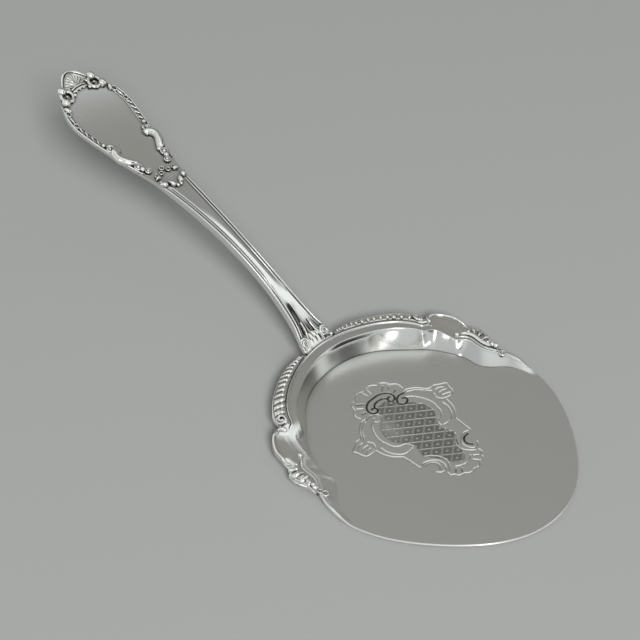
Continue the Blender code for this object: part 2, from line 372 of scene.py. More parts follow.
def edgeRadius(angle):
    turn = math.radians(angle)
    reach = rim["back"] if math.cos(turn) > 0 else rim["front"]
    oval = 1 / math.hypot(math.cos(turn) / reach, math.sin(turn) / rim["halfWidth"])
    return oval - rim["ease"] * math.sin(2 * turn) ** 2


def ridgeRadius(angle):
    return edgeRadius(angle) + bandPlace(angle) + bandWidth(angle)


def seatRadius(angle):
    return ridgeRadius(angle) + rim["lip"] + rim["seam"]


def ridgeHeight(angle):
    return rim["plate"] + rim["rise"] * wallFall(angle)


def around(angle, radius, height):
    turn = math.radians(angle)
    return (-radius * math.cos(turn), radius * math.sin(turn), height)


# engraving on the plate: strokes of its +Y half in millimetres, measured from the figure's own axis

engraving = {
    "turn": -1.7, "shift": -0.75, "line": 0.27, "depth": 0.2, "darkLine": 0.38, "darkDepth": 0.14,
    "ground": 0.05, "groundDark": 0.66, "groundSoft": 0.3, "latticeLine": 0.2, "latticeDepth": 0.15,
    "lineClear": 0.8, "lineSoft": 0.1, "dot": 0.5, "dotSoft": 0.16, "cutReach": 2.5,
    "latticePitch": (3.63, 4.9), "latticeAt": (-10.7, 2.2),
    "wornAt": (-11.5, -5.6), "wornSize": (5.0, 2.8), "wornShare": 0.75,
    # darkness painted into the cuts on the +Y side and on the other; the dark and one-sided cuts are a
    # painted reflection
    "brightTint": (0.05, 0.05), "darkTint": (1.0, 1.0), "sideTint": (1.0, 0.1),
    "groundEdge": (
        (-19.6, 2.2), (-17.3, 3.6), (-15.8, 4.4), (-14.0, 7.0), (-12.2, 8.2), (-10.4, 8.8), (-7.6, 8.8),
        (-5.2, 7.4), (-4.2, 6.2), (-2.2, 5.2), (0.0, 6.0), (2.0, 6.6), (3.4, 6.0),
        (4.6, 5.0), (6.4, 4.0), (8.4, 3.0), (10.0, 2.2), (11.0, 1.0),
    ),
    "lightStrokes": (
        # side scroll, outer and inner line, running up to the sprig
        ((-18.4, 7.3), (-18.6, 9.0), (-17.8, 10.6), (-16.6, 12.0), (-14.8, 13.3), (-14.3, 14.4),
         (-14.3, 16.0)),
        ((-17.8, 8.5), (-17.0, 10.4), (-15.7, 11.9), (-14.1, 13.0), (-13.2, 13.9)),
        ((-17.0, 6.3), (-15.6, 8.2), (-13.8, 9.4), (-11.7, 10.3), (-9.6, 10.6), (-7.6, 10.2), (-6.3, 9.9),
         (-4.9, 8.7), (-4.2, 6.6), (-3.0, 5.8), (-2.1, 5.9)),
        # sprig of three petals
        ((-14.3, 15.8), (-13.4, 17.2), (-12.4, 19.0), (-11.2, 18.6), (-9.4, 18.2), (-8.4, 17.3), (-8.3, 15.4),
         (-8.8, 13.9), (-10.4, 12.9), (-12.0, 13.5)),
        ((-12.8, 15.0), (-12.6, 16.2), (-11.9, 17.2)),
        ((-11.2, 14.6), (-11.2, 16.0), (-10.8, 17.2)),
        ((-9.9, 14.8), (-9.6, 16.0), (-9.0, 17.2)),
        # front half of the side scroll
        ((-8.9, 14.4), (-7.5, 14.2), (-5.2, 13.7), (-3.2, 12.5), (-1.3, 10.7)),
        ((-7.8, 12.6), (-5.8, 12.5), (-3.7, 11.6), (-2.2, 10.2), (-1.6, 8.4), (-1.8, 6.4)),
        # front scroll and its point
        ((-1.1, 10.6), (1.8, 10.4), (4.7, 10.1), (4.2, 8.2), (5.2, 5.9), (6.9, 4.6), (8.8, 4.8), (10.1, 5.8),
         (10.0, 7.3), (9.0, 8.3)),
        ((2.6, 6.3), (4.0, 4.5), (6.0, 3.2), (8.2, 3.1), (10.0, 4.3), (11.0, 5.4)),
        ((11.2, 3.0), (12.0, 1.7), (12.4, 0.0)),
    ),
    # cuts painted dark as a reflection of dark surroundings
    "darkStrokes": (
        ((-22.8, 0.0), (-22.7, 1.9), (-22.0, 3.5), (-20.8, 4.6), (-19.5, 4.8), (-18.4, 4.1), (-18.3, 2.9),
         (-19.2, 2.4), (-20.0, 2.9), (-20.0, 3.7)),
        ((-21.1, 0.0), (-20.9, 1.4), (-20.3, 2.2), (-19.6, 2.6)),
    ),
    # painted reflection: dark on the +Y side only, bright on the other
    "sideStrokes": (
        ((-18.2, 7.6), (-18.5, 6.0), (-17.9, 4.5), (-16.6, 3.6), (-15.4, 4.1), (-15.0, 5.3), (-15.7, 6.5),
         (-16.7, 6.5), (-17.0, 5.8)),
        ((5.2, 8.6), (5.4, 7.0), (6.3, 6.0), (7.6, 5.8), (8.8, 6.6)),
    ),
    # cusps, how far the lobes between them swell, and the middle that they swell away from
    "fans": (
        (((-19.6, 8.6), (-23.2, 7.2), (-25.6, 4.3), (-26.4, 0.0)), 0.95, (-18.6, 0.0)),
        (((11.3, 6.2), (13.0, 5.2), (14.4, 3.2), (15.3, 0.0)), 0.7, (10.2, 0.0)),
    ),
    # both ends, and the darkness painted on either side as a reflection
    "rays": (
        ((-24.3, 5.4), (-22.8, 3.6), 0.3, 0.95), ((-20.7, 6.9), (-20.2, 5.6), 0.9, 0.95),
        ((-26.0, 0.9), (-24.5, 0.6), 0.05, 0.05), ((-23.0, 6.6), (-21.9, 5.2), 0.05, 0.05),
        ((12.7, 4.7), (11.8, 3.5), 0.05, 0.6), ((13.9, 3.2), (12.8, 2.3), 0.05, 0.6),
    ),
}


def distanceTo(line, x, y):
    best = np.full(x.shape, np.inf)
    for (ax, ay), (bx, by) in zip(line, line[1:]):
        dx = bx - ax
        dy = by - ay
        t = np.clip(((x - ax) * dx + (y - ay) * dy) / (dx * dx + dy * dy), 0, 1)
        best = np.minimum(best, (x - ax - t * dx) ** 2 + (y - ay - t * dy) ** 2)
    return np.sqrt(best)


def groove(distance, width):
    return np.clip(1 - distance / width, 0, 1)


def fanOutline(cusps, bulge, middle):
    # one lobe between each two cusps
    outline = []
    for start, end in zip(cusps, cusps[1:]):
        outward = ((Vector(start) + Vector(end)) / 2 - Vector(middle)).normalized()
        for t in spread(0.0, 1.0, 8)[:-1]:
            spot = Vector(start).lerp(Vector(end), t) + outward * bulge * math.sin(math.pi * t)
            outline.append(tuple(spot))
    return outline + [cusps[-1]]


def engravedLines():
    # every stroke as a line, its half-width, its depth and how dark it is on either side
    fine = (engraving["line"], engraving["depth"])
    bold = (engraving["darkLine"], engraving["darkDepth"])
    lines = []
    for kind, cut, tint in (("light", fine, "bright"), ("dark", bold, "dark"), ("side", bold, "side")):
        for points in engraving[kind + "Strokes"]:
            lines.append((throughPoints(points), *cut, *engraving[tint + "Tint"]))
    lines += [(fanOutline(*fan), *fine, *engraving["brightTint"]) for fan in engraving["fans"]]
    lines += [((start, end), *fine, right, left) for start, end, right, left in engraving["rays"]]
    return lines


def engravedHeight(plateX, plateY):
    # depth below the plate, darkness and polish of the cut, at every point of the disc
    turn = math.radians(engraving["turn"])
    shifted = plateY - engraving["shift"]
    x = plateX * math.cos(turn) + shifted * math.sin(turn)
    signed = shifted * math.cos(turn) - plateX * math.sin(turn)
    y = np.abs(signed)

    # sunk lattice cells, each with a bright dot left standing, between bright-cut lines
    pitchX, pitchY = engraving["latticePitch"]
    p = (x - engraving["latticeAt"][0]) / pitchX
    q = (signed - engraving["latticeAt"][1]) / pitchY
    scale = 1 / math.hypot(1 / pitchX, 1 / pitchY)
    toLine = scale * np.minimum(np.abs((p + q) % 1 - 0.5), np.abs((p - q) % 1 - 0.5))
    first = (p + q + 0.5) % 1 - 0.5
    second = (p - q + 0.5) % 1 - 0.5
    toDot = np.hypot((first + second) / 2 * pitchX, (first - second) / 2 * pitchY)
    edge = np.interp(x, *zip(*engraving["groundEdge"]), left=-1, right=-1)
    inside = np.clip((edge - y) / engraving["groundSoft"], 0, 1)
    clear = engraving["lineClear"] * engraving["latticeLine"]
    dark = np.clip((toLine - clear) / engraving["lineSoft"], 0, 1)
    dark = dark * np.clip((toDot - engraving["dot"] / 2) / engraving["dotSoft"], 0, 1) * inside
    cut = groove(toLine, engraving["latticeLine"]) * inside
    depth = engraving["ground"] * dark + engraving["latticeDepth"] * cut
    polish = np.minimum(1, 2 * cut)
    wornX = (x - engraving["wornAt"][0]) / engraving["wornSize"][0]
    wornY = (signed - engraving["wornAt"][1]) / engraving["wornSize"][1]
    worn = engraving["wornShare"] * np.exp(-wornX * wornX - wornY * wornY)
    dark = engraving["groundDark"] * dark * (1 - worn)

    # each cut is painted dark or bright per side, a painted reflection
    for line, width, deep, tintRight, tintLeft in engravedLines():
        cut = groove(distanceTo(line, x, y), width)
        reach = np.minimum(1, engraving["cutReach"] * cut)
        depth = np.maximum(depth * (1 - reach), deep * cut)
        dark = np.maximum(dark * (1 - reach), np.where(signed > 0, tintRight, tintLeft) * reach)
        polish = np.maximum(polish, reach)
    return depth, dark, polish


# blade: disc with the engraving in the middle, its edge extruded ring by ring over wall, band and ridge

bladeSet = {
    "discCentre": -6.0, "discRadius": 22.6, "discCells": 250, "fineMiddle": 0.8, "seam": 0.000002,
    "sharp": 38, "footRing": 3, "wallTopRing": 13, "footStep": 0.8, "crease": 0.05, "lip": 0.16,
    "liveFrom": (0.0, 0.14), "wallStart": (0.0, 0.02, 0.05), "wallSteps": 6, "wallLean": -5,
    "leanFrom": (0.0, 0.6), "leanTo": (-0.15, 0.3), "bevel": 0.95, "bevelLeast": 0.05, "bevelSlope": 45,
    "bevelFrom": (-4, 4), "bevelTo": (19, 24), "scrollFrom": (45.0, 48.5), "scrollTo": (58.5, 62.0),
    "thread": 0.36, "threadArc": (155, 0, 5), "threadTall": 1.1, "threadFade": 0.8,
    "threadFadeFrom": (60, 64), "bandDish": 0.03, "coveOut": 0.75, "coveUp": 0.35,
    "edgeThin": 0.55, "edgeUnder": 4.0, "edgeRound": ((0.17, 0.3), (rim["lip"], 0.55), (0.17, 0.82)),
    # painted shade: a dark line along the wall's foot crease and darkening over the wall and the bright cuts;
    # where the shading of the metal sets in, in degrees from the back
    "footShadeLine": 0.7, "footShadeLineFrom": (-28, -14), "polishFrom": (-62, -48), "paintedShadeFrom": (-45, -8),
    "shineFrom": (0.02, 0.3), "cutPaintedShade": 0.4,
}


def scrollShare(angle):
    # 1 where the band runs over into the C-scroll without a ridge
    return between(angle, bladeSet["scrollFrom"], bladeSet["scrollTo"])


def wallLine(foot, inner, low, high):
    # from the plate up to the band, very slightly bowed
    rise = max(high - low, 0.001)
    run = max(inner - foot, 0.05)
    chord = math.atan2(rise, run)
    lean = math.radians(bladeSet["wallLean"]) * ease(chord, *bladeSet["leanFrom"])
    lean *= ease(math.pi / 2 - chord, *bladeSet["leanTo"])
    reach = math.hypot(run, rise) / (2 * math.cos(lean))
    bendX = foot + reach * math.cos(chord - lean)
    bendZ = low + reach * math.sin(chord - lean)
    line = []
    for t in (*bladeSet["wallStart"], *spread(0.0, 1.0, bladeSet["wallSteps"])[1:]):
        out = (1 - t) ** 2 * foot + 2 * t * (1 - t) * bendX + t * t * inner
        up = (1 - t) ** 2 * low + 2 * t * (1 - t) * bendZ + t * t * high
        line.append((out, up))
    return line


def bladeProfile(angle):
    # one section over plate, wall, band and ridge and back underneath: radius, height
    side = abs(angle)
    fall = wallFall(side)
    plate = rim["plate"]
    edge = edgeRadius(side)
    foot = edge - footInset(side)
    inner = edge + bandPlace(side)
    ridge = ridgeRadius(side)
    top = ridgeHeight(side)
    band = top - rim["bandDrop"] * fall
    live = ease(fall, *bladeSet["liveFrom"])
    lip = bladeSet["lip"] * live
    crease = bladeSet["crease"]
    line = [(foot - inset, plate) for inset in (bladeSet["footStep"], 4 * crease, crease)]
    # the wall's top is bevelled beside the handle
    bevel = bladeSet["bevel"] * between(angle, bladeSet["bevelFrom"], bladeSet["bevelTo"])
    slope = math.radians(bladeSet["bevelSlope"])
    bevelOut = (bladeSet["bevelLeast"] + bevel) * live * math.cos(slope)
    bevelUp = (bladeSet["bevelLeast"] + bevel) * live * math.sin(slope)
    line += wallLine(foot, inner - bevelOut, plate, band - lip - bevelUp)
    for t in (0.12, 1.0):
        line.append((inner - bevelOut * (1 - t), band - lip - bevelUp * (1 - t)))
    start = inner + lip + 2 * crease
    line += [(inner + 0.3 * lip, band - 0.3 * lip), (inner + lip, band), (start, band)]
    thread = bladeSet["thread"] * live
    bandEnd = ridge - 2 * thread
    for t in (0.5, 1.0):
        dish = bladeSet["bandDish"] * live * math.sin(math.pi * t)
        line.append((start + (bandEnd - start) * t, band - dish))
    proud = (1 - scrollShare(side)) * (1 - bladeSet["threadFade"] * ease(side, *bladeSet["threadFadeFrom"]))
    for turn in spread(*bladeSet["threadArc"]):
        rise = math.sin(math.radians(turn)) * thread * bladeSet["threadTall"] * proud
        line.append((ridge - thread + thread * math.cos(math.radians(turn)), band + rise))
    # round the outer edge and back underneath
    thin = bladeSet["edgeThin"] * (1 - live)
    thick = plate - thin
    low = top - thick
    line += [(ridge + out, top - drop * thick) for out, drop in bladeSet["edgeRound"]]
    line.append((ridge, low))
    wall = rim["wall"] * fall
    for t in (0.33, 0.67):
        line.append((ridge + (inner + wall - ridge) * t, low - rim["bandDrop"] * fall * t))
    under = bladeSet["edgeUnder"] * (1 - live)
    cove = foot + bladeSet["coveOut"] * (inner - foot)
    coveTop = plate + bladeSet["coveUp"] * (band - plate)
    line += [(inner + wall, band - thick), (cove + wall - 0.4 * under, coveTop - plate + 0.6 * thin)]
    return line + [(foot - under, 0.0)]


def makeBlade():
    blade, u, v = addGrid("silverBlade", bladeSet["discCells"], bladeSet["discCells"])
    fine = bladeSet["fineMiddle"]    # closer cells over the lattice
    u = u * (fine + (1 - fine) * u * u)
    v = v * (fine + (1 - fine) * v * v)
    x = bladeSet["discCentre"] + bladeSet["discRadius"] * u * np.sqrt(1 - v * v / 2)
    y = bladeSet["discRadius"] * v * np.sqrt(1 - u * u / 2)
    depth, dark, polish = engravedHeight(x, y)
    laid = np.stack([x, y, rim["plate"] - depth], -1) * mm
    blade.data.vertices.foreach_set("co", laid.ravel())
    # dark of the cuts with their painted reflection, polish, and painted shade over the bright cuts
    tones = {"engravedAndShade": dark, "polished": polish, "paintedShade": bladeSet["cutPaintedShade"] * polish}
    for name, values in tones.items():
        blade.data.attributes.new(name, "FLOAT", "POINT").data.foreach_set("value", values)

    editWhole(blade)
    selectRim()
    profiles = {}
    for ring in range(len(bladeProfile(0))):
        bpy.ops.mesh.extrude_region()
        mesh = bmesh.from_edit_mesh(blade.data)
        engravedAndShade, polished, paintedShade = (mesh.verts.layers.float[name] for name in tones)
        onWall = 1.0 if bladeSet["footRing"] <= ring <= bladeSet["wallTopRing"] else 0.0
        footShadeLine = bladeSet["footShadeLine"] if abs(ring - bladeSet["footRing"]) <= 1 else 0.0
        centre = bladeSet["discCentre"] * mm if ring == 0 else 0.0
        for spot in mesh.verts:
            if spot.select:
                angle = round(math.degrees(math.atan2(spot.co.y, centre - spot.co.x)), 3)
                if angle not in profiles:
                    profiles[angle] = bladeProfile(angle)
                radius, height = profiles[angle][ring]
                spot.co = Vector(around(angle, radius, height)) * mm
                # painted shade over the wall, and a painted shade line along the foot crease
                live = ease(wallFall(abs(angle)), *bladeSet["shineFrom"])
                shine = live * ease(angle, *bladeSet["polishFrom"])
                spot[polished] = 0.0 if ring < bladeSet["footRing"] else shine
                spot[paintedShade] = onWall * live * ease(angle, *bladeSet["paintedShadeFrom"])
                spot[engravedAndShade] = footShadeLine * live * ease(angle, *bladeSet["footShadeLineFrom"])
        bmesh.update_edit_mesh(blade.data)
    bpy.ops.mesh.edge_face_add()    # flat underside
    bpy.ops.mesh.select_all(action="SELECT")
    bpy.ops.mesh.remove_doubles(threshold=bladeSet["seam"])
    bpy.ops.mesh.normals_make_consistent(inside=False)
    leaveEdit()
    bpy.ops.object.shade_smooth_by_angle(angle=math.radians(bladeSet["sharp"]))
    return blade


silverBlade = makeBlade()
print("blade:", len(silverBlade.data.polygons), "faces")


# cast border outside the band: base strip, gadroons, C-scroll, leaf

border = {
    "start": 8.4, "end": 77.6, "steps": 165, "columns": 14, "thick": 1.7, "slim": 0.45,
    "crown": 0.4, "droop": 1.5, "sunk": 0.22, "sunkTo": (40, 45), "dishFrom": (-0.9, -0.3), "dishStep": 0.06,
    "dishRise": 0.12, "width": (
        (8.4, 1.0), (16, 2.7), (28, 3.1), (36, 3.5), (41, 3.7), (44.5, 2.5), (47, 3.1), (50, 3.8),
        (52.5, 4.6), (55, 5.2), (57.4, 5.5), (59.6, 4.8), (61.8, 3.4), (63.7, 2.8), (66.5, 4.1), (70.5, 3.9),
        (73.7, 2.0), (76, 1.0), (77.6, 0.4),
    ),
    "gadroons": 14, "gadroonFrom": 10.2, "gadroonTo": 39.4, "gadroonGrowth": 1.3, "gadroonSlant": 26,
    "gadroonPitch": 1.15, "gadroonOut": 0.46, "gadroonSize": (0.53, 0.4, 0.24),
    "swayPace": 2.1, "swayOut": 0.03, "swayTurn": 7, "sizePace": 1.3, "sizeSway": 0.1,
    # wires: angle and distance out from the seat
    "edgeLine": ((9.5, 0.9), (13, 2.0), (20, 2.75), (30, 3.05), (38, 3.35), (41.5, 3.4), (43.6, 2.9)),
    "scrollEdge": (
        (46.6, 0.2), (46.1, 1.2), (46.3, 2.2), (47.6, 2.75), (50, 3.4), (52.5, 4.15), (55, 4.75),
        (57.4, 5.05), (59.5, 4.4), (61.2, 3.2), (62.2, 2.2),
    ),
    "leafEdge": (
        (62.9, 0.6), (63.8, 1.9), (66.5, 3.5), (69.0, 3.4), (71.6, 2.5), (74.0, 1.6), (76.0, 0.95),
        (77.4, 0.4),
    ),
    # thickness, lift, and shares of the thickness at both ends
    "wires": {"edgeLine": (0.24, 0.0), "scrollEdge": (0.5, 0.12, 1.0, 0.3), "leafEdge": (0.36, 0.05)},
    "curlAt": (41.9, 1.7), "curl": (1.45, 0.45, 0, 1.35), "curlThick": 0.42, "curlLift": 0.3,
    "lobes": (
        (64.8, 2.0, 1.65, 22), (67.4, 2.3, 1.9, 4), (70.2, 1.9, 1.7, -16), (72.7, 1.2, 1.2, -36),
        (46.7, 0.9, 1.15, 180),
    ),
    "lobeShape": (1, 0.62, 0.6), "lobeLift": 0.05, "beadLift": 0.1,
    "beads": ((43.3, 1.0, 0.62), (58.6, -0.3, 0.72), (62.9, 0.7, 0.5), (74.2, 0.5, 0.75), (75.8, 0.3, 0.85)),
    "rings": ((77.9, -0.7, 0.8), (79.9, -1.7, 1.05)),
}
borderWidth = smoothCurve(border["width"])


def borderTop(angle, out):
    # plain strip: crowned and drooping outwards; in the C-scroll: level with the band and dished
    share = min(1.0, max(0.0, out / borderWidth(angle)))
    fall = wallFall(angle)
    plain = border["crown"] * math.sin(math.pi * share**0.6) - 0.75 * border["droop"] * fall * share**1.6
    level = 0.01 - rim["bandDrop"] * fall
    rise = border["dishRise"] * max(0.0, out - 0.3)
    dish = level + border["dishStep"] * ease(out, *border["dishFrom"]) + rise
    scroll = scrollShare(angle)
    return ridgeHeight(angle) + plain * (1 - scroll) + dish * scroll


def rimSpot(angle, out, lift=0.0):
    return around(angle, seatRadius(angle) + out, borderTop(angle, out) + lift)


def rimFrame(angle, out, lift=0.0, turn=0.0):
    # X outwards, Y along the rim, Z up off the border
    outward = (Vector(rimSpot(angle, out + 0.2)) - Vector(rimSpot(angle, out - 0.2))).normalized()
    onward = (Vector(rimSpot(angle + 0.5, out)) - Vector(rimSpot(angle - 0.5, out))).normalized()
    return standOn(Vector(rimSpot(angle, out, lift)), outward, onward, turn)


def borderSection(angle):
    width = borderWidth(angle)
    fall = wallFall(angle)
    seat = seatRadius(angle)
    thick = border["thick"] * (border["slim"] + (1 - border["slim"]) * fall)
    start = -0.3 - 0.9 * scrollShare(angle)
    sunk = border["sunk"] * (1 - ease(angle, *border["sunkTo"]))
    top = []
    for share in spread(0.0, 1.0, border["columns"]):
        out = start + share * (width - start)
        top.append(around(angle, seat + out, borderTop(angle, out) - sunk * math.sin(math.pi * share)))
    under = ridgeHeight(angle) - border["droop"] * fall - thick
    return top + [
        around(angle, seat + width + 0.12, (top[-1][2] + under) / 2 + 0.3),
        around(angle, seat + 0.85 * width, under),
        around(angle, seat, under + 0.5 * border["droop"] * fall),
        around(angle, seat + start, top[0][2] - 0.25 - 0.3 * fall),
    ]


def rimCurl(name):
    angle, out = border["curlAt"]
    perDegree = math.radians(seatRadius(angle))
    spots = [rimSpot(angle + y / perDegree, out + x, border["curlLift"]) for x, y in spiral(*border["curl"])]
    return taperedWire(name, spots, border["curlThick"], 0.6, 0.8)


def gadroonPlace(k):
    share = max(0.0, k) / (border["gadroons"] - 1)
    run = border["gadroonTo"] - border["gadroonFrom"]
    return border["gadroonFrom"] + run * share ** border["gadroonGrowth"]


def makeGadroon(k):
    angle = gadroonPlace(k)
    width = borderWidth(angle)
    pitch = math.radians(gadroonPlace(k + 0.5) - gadroonPlace(k - 0.5)) * seatRadius(angle)
    pitch = max(pitch, border["gadroonPitch"])
    sway = math.sin(border["swayPace"] * k)    # cast by hand, so no two are quite alike
    out = (border["gadroonOut"] + border["swayOut"] * sway) * width
    place = rimFrame(angle, out, -0.1, 180 - border["gadroonSlant"] + border["swayTurn"] * sway)
    size = 1 + border["sizeSway"] * math.sin(border["sizePace"] * k)
    long, wide, tall = border["gadroonSize"]
    return stamp(dropModel, place, (long * width * size, wide * pitch * size, 0.4 + tall * pitch))


def makeBorder():
    angles = spread(border["start"], border["end"], border["steps"])
    pieces = [layRows("borderStrip", [borderSection(angle) for angle in angles])]
    pieces += [makeGadroon(k) for k in range(border["gadroons"])]
    pieces += stampRow(dropModel, rimFrame, border["lobes"], border["lobeLift"], border["lobeShape"])
    pieces += stampRow(beadModel, rimFrame, border["beads"], border["beadLift"])
    pieces += stampRow(ringModel, rimFrame, border["rings"], border["beadLift"])
    for name, (thick, lift, *shares) in border["wires"].items():
        spots = [rimSpot(angle, out, lift) for angle, out in throughPoints(border[name])]
        pieces.append(taperedWire(name, spots, thick, *shares))
    pieces.append(rimCurl("gadroonEnd"))
    return joinPieces("rimBorderRight", pieces)


rimBorderRight = makeBorder()
rimBorderLeft = mirrorPiece(rimBorderRight, "rimBorderLeft")
print("rim borders:", len(rimBorderRight.data.polygons), "faces each")


# handle: places along it are shares of its length from heel to tip

handle = {
    "length": 102.5, "rise": 43.4, "slopes": (2.06, 1.25), "heelLift": 0.5, "footEnd": 0.08, "stretch": 114.8,
    "stemThick": 2.9, "panelThick": 1.7, "hollow": 0.12, "panelHollow": 0.1,
    "stemRows": (-0.004, 0.55, 110), "panelRows": (0.55, 1.004, 90), "sharp": 42,
    "halfWidth": (
        (0.0, 5.5), (0.06, 3.9), (0.15, 2.95), (0.27, 2.72), (0.42, 3.4), (0.555, 4.6), (0.6, 5.35),
        (0.66, 7.0), (0.71, 8.3), (0.74, 8.75), (0.8, 10.1), (0.85, 10.9), (0.89, 10.4), (0.925, 9.05),
        (0.95, 7.2), (0.972, 5.0), (0.99, 3.5), (1.0, 2.4), (1.005, 1.2),
    ),
    "thick": ((0.0, 2.9), (0.45, 2.9), (0.66, 1.7), (1.0, 1.7)),
    # fine threads along the stem: distance in from the edge, height off the face
    "threads": (
        (0.0, 0.0), (0.07, 0.13), (0.2, 0.24), (0.38, 0.28), (0.52, 0.22), (0.63, 0.06), (0.79, -0.3),
        (0.95, 0.05), (1.05, 0.16), (1.18, 0.22), (1.31, 0.16), (1.43, 0.03), (1.59, -0.32), (1.75, 0.0),
        (1.86, 0.1), (2.1, 0.12),
    ),
    "footThreads": (
        (0.0, 0.0), (0.07, 0.13), (0.22, 0.26), (0.5, 0.28), (0.7, 0.1), (0.95, -0.32), (1.2, 0.06),
        (1.4, 0.18), (1.75, 0.15), (2.1, 0.12),
    ),
    "threadBand": 2.1, "threadFull": 2.75, "threadThin": 0.15, "threadThinTo": (0.06, 0.2),
    "footThreadEnd": (0.1, 0.24), "threadEnd": (0.53, 0.57),
    "footSlope": 0.27, "footBend": 1.15, "footHollowFrom": (0.0, 0.035), "footHollowEnd": (0.085, 0.135),
    "crown": 0.1, "crownFrom": (0.12, 0.2), "crownTo": (0.36, 0.5),
    "centreColumns": 16, "bellyColumns": 20, "bellyDeep": 0.55, "bellyBend": 0.6, "bellyDraw": 0.02,
}
halfWidth = smoothCurve(handle["halfWidth"])
thickness = smoothCurve(handle["thick"])
threadShape = smoothCurve(handle["threads"])
footShape = smoothCurve(handle["footThreads"])
heelReach = seatRadius(0)
heelHeight = ridgeHeight(0) + handle["heelLift"] - handle["stemThick"] / 2


def hermiteSlope(t, startSlope, endSlope):
    return 6 * t - 6 * t * t + (3 * t * t - 4 * t + 1) * startSlope + (3 * t * t - 2 * t) * endSlope


def onHandle(place, across, height):
    rise = handle["rise"] * hermite(place, 0.0, 1.0, *handle["slopes"])
    grade = handle["rise"] * hermiteSlope(place, *handle["slopes"]) / handle["length"]
    foot = max(0.0, 1 - place / handle["footEnd"])
    tilt = math.atan(grade) * (1 - foot)
    turn = math.asin(across / heelReach)
    lead = (heelReach - seatRadius(math.degrees(abs(turn))) * math.cos(turn)) * foot
    return (
        lead - heelReach - place * handle["length"] + height * math.sin(tilt),
        across,
        heelHeight + rise + height * math.cos(tilt),
    )


def offFace(place, across, lift):
    return onHandle(place, across, thickness(place) / 2 + lift)


def threadScale(place):
    thin = handle["threadThin"] * (1 - ease(place, *handle["threadThinTo"]))
    return min(1.0, halfWidth(place) / handle["threadFull"]) * (1 - thin)


def faceHeight(place, across):
    # two fine threads along each edge of the stem, a crown between them and a hollow at the foot
    wide = halfWidth(place)
    share = min(1.0, abs(across) / wide)
    onStem = 1 - ease(place, *handle["threadEnd"])
    sunk = handle["panelHollow"] + (handle["hollow"] - handle["panelHollow"]) * onStem
    inward = (wide - abs(across)) / threadScale(place)
    centre = wide - handle["threadBand"] * threadScale(place)
    middle = min(1.0, abs(across) / centre)
    deep = handle["footSlope"] * centre * between(place, handle["footHollowFrom"], handle["footHollowEnd"])
    crown = handle["crown"] * between(place, handle["crownFrom"], handle["crownTo"])
    foot = 1 - ease(place, *handle["footThreadEnd"])
    thread = threadShape(inward) * (1 - foot) + footShape(inward) * foot
    shaped = crown * (1 - middle**2) - sunk * (1 - share**2) - deep * (1 - middle ** handle["footBend"])
    return thickness(place) / 2 + shaped + onStem * thread


def handleFrame(place, across, lift=0.0, turn=0.0):
    # X towards the tip, Y across, Z off the face
    before, behind = (Vector(onHandle(place + step, across, 0)) for step in (0.01, -0.01))
    origin = Vector(offFace(place, across, lift))
    return standOn(origin, (before - behind).normalized(), Vector((0, 1, 0)), turn)


def handleWire(name, points, thick, lift):
    spots = [offFace(place, across, lift) for place, across in throughPoints(points, 5)]
    return taperedWire(name, spots, thick)


def edgeTurn(place):
    # which way the outline runs, in degrees from the handle's axis
    step = 0.004
    widening = halfWidth(place + step) - halfWidth(place - step)
    return math.degrees(math.atan(widening / (2 * step * handle["stretch"])))


def handleCurl(name, middle, shape, thick, lift):
    place, across = middle
    height = thickness(place) / 2 + lift
    spots = [onHandle(place + x / handle["stretch"], across + y, height) for x, y in spiral(*shape)]
    return taperedWire(name, spots, thick, 0.6, 0.8)


def handleSection(place):
    wide = halfWidth(place)
    scale = threadScale(place)
    edgeSide = [wide - scale * thread[0] for thread in handle["threads"]]
    middle = spread(edgeSide[-1], -edgeSide[-1], handle["centreColumns"])[1:-1]
    section = []
    for across in [-spot for spot in edgeSide] + middle[::-1] + edgeSide[::-1]:
        section.append(onHandle(place, across, faceHeight(place, across)))
    for t in spread(0.0, 1.0, handle["bellyColumns"]):
        arch = math.sin(math.pi * t)
        across = math.cos(math.pi * t) * wide * (1 - handle["bellyDraw"] * arch)
        deep = handle["bellyDeep"] * thickness(place) * arch ** handle["bellyBend"]
        section.append(onHandle(place, across, -deep))
    return section


places = spread(*handle["stemRows"]) + spread(*handle["panelRows"])[1:]
silverHandle = layRows("silverHandle", [handleSection(place) for place in places], handle["sharp"])
print("handle:", len(silverHandle.data.polygons), "faces")


# foot of the handle: leaf drop on a fluted apron, and volutes

heel = {
    "leafFrom": 0.008, "leafTo": 0.09, "leafHalf": 0.5, "leafLeast": 0.16, "leafHeight": 0.45,
    "leafFall": 0.45, "leafSunk": 0.5, "leafBase": 0.9, "apronFrom": 0.03, "apronHalf": 5.3,
    "apronDraw": 0.8, "apronSwell": 0.45, "apronBase": 0.5, "flutes": 7, "fluteHeight": 0.13,
    "eye": (0.013, 3.85), "eyeSize": 0.62, "eyeLift": 0.45, "curl": (1.45, 0.65, 70, -1.3), "curlThick": 0.4,
    "stem": ((0.06, 1.3), (0.036, 1.5), (0.02, 2.2), (0.008, 3.6), (-0.002, 5.4)),
    "stemThick": 0.34, "stemLift": 0.3,
    "beads": ((0.0, 5.3, 0.62), (0.004, 4.6, 0.4), (-0.003, 2.6, 0.42)), "beadLift": 0.1,
    "drops": ((0.019, 3.55, 1.3, 35), (0.019, 3.55, 1.2, 75), (0.019, 3.55, 1.1, 115)),
    "dropShape": (1, 0.4, 0.45),
}


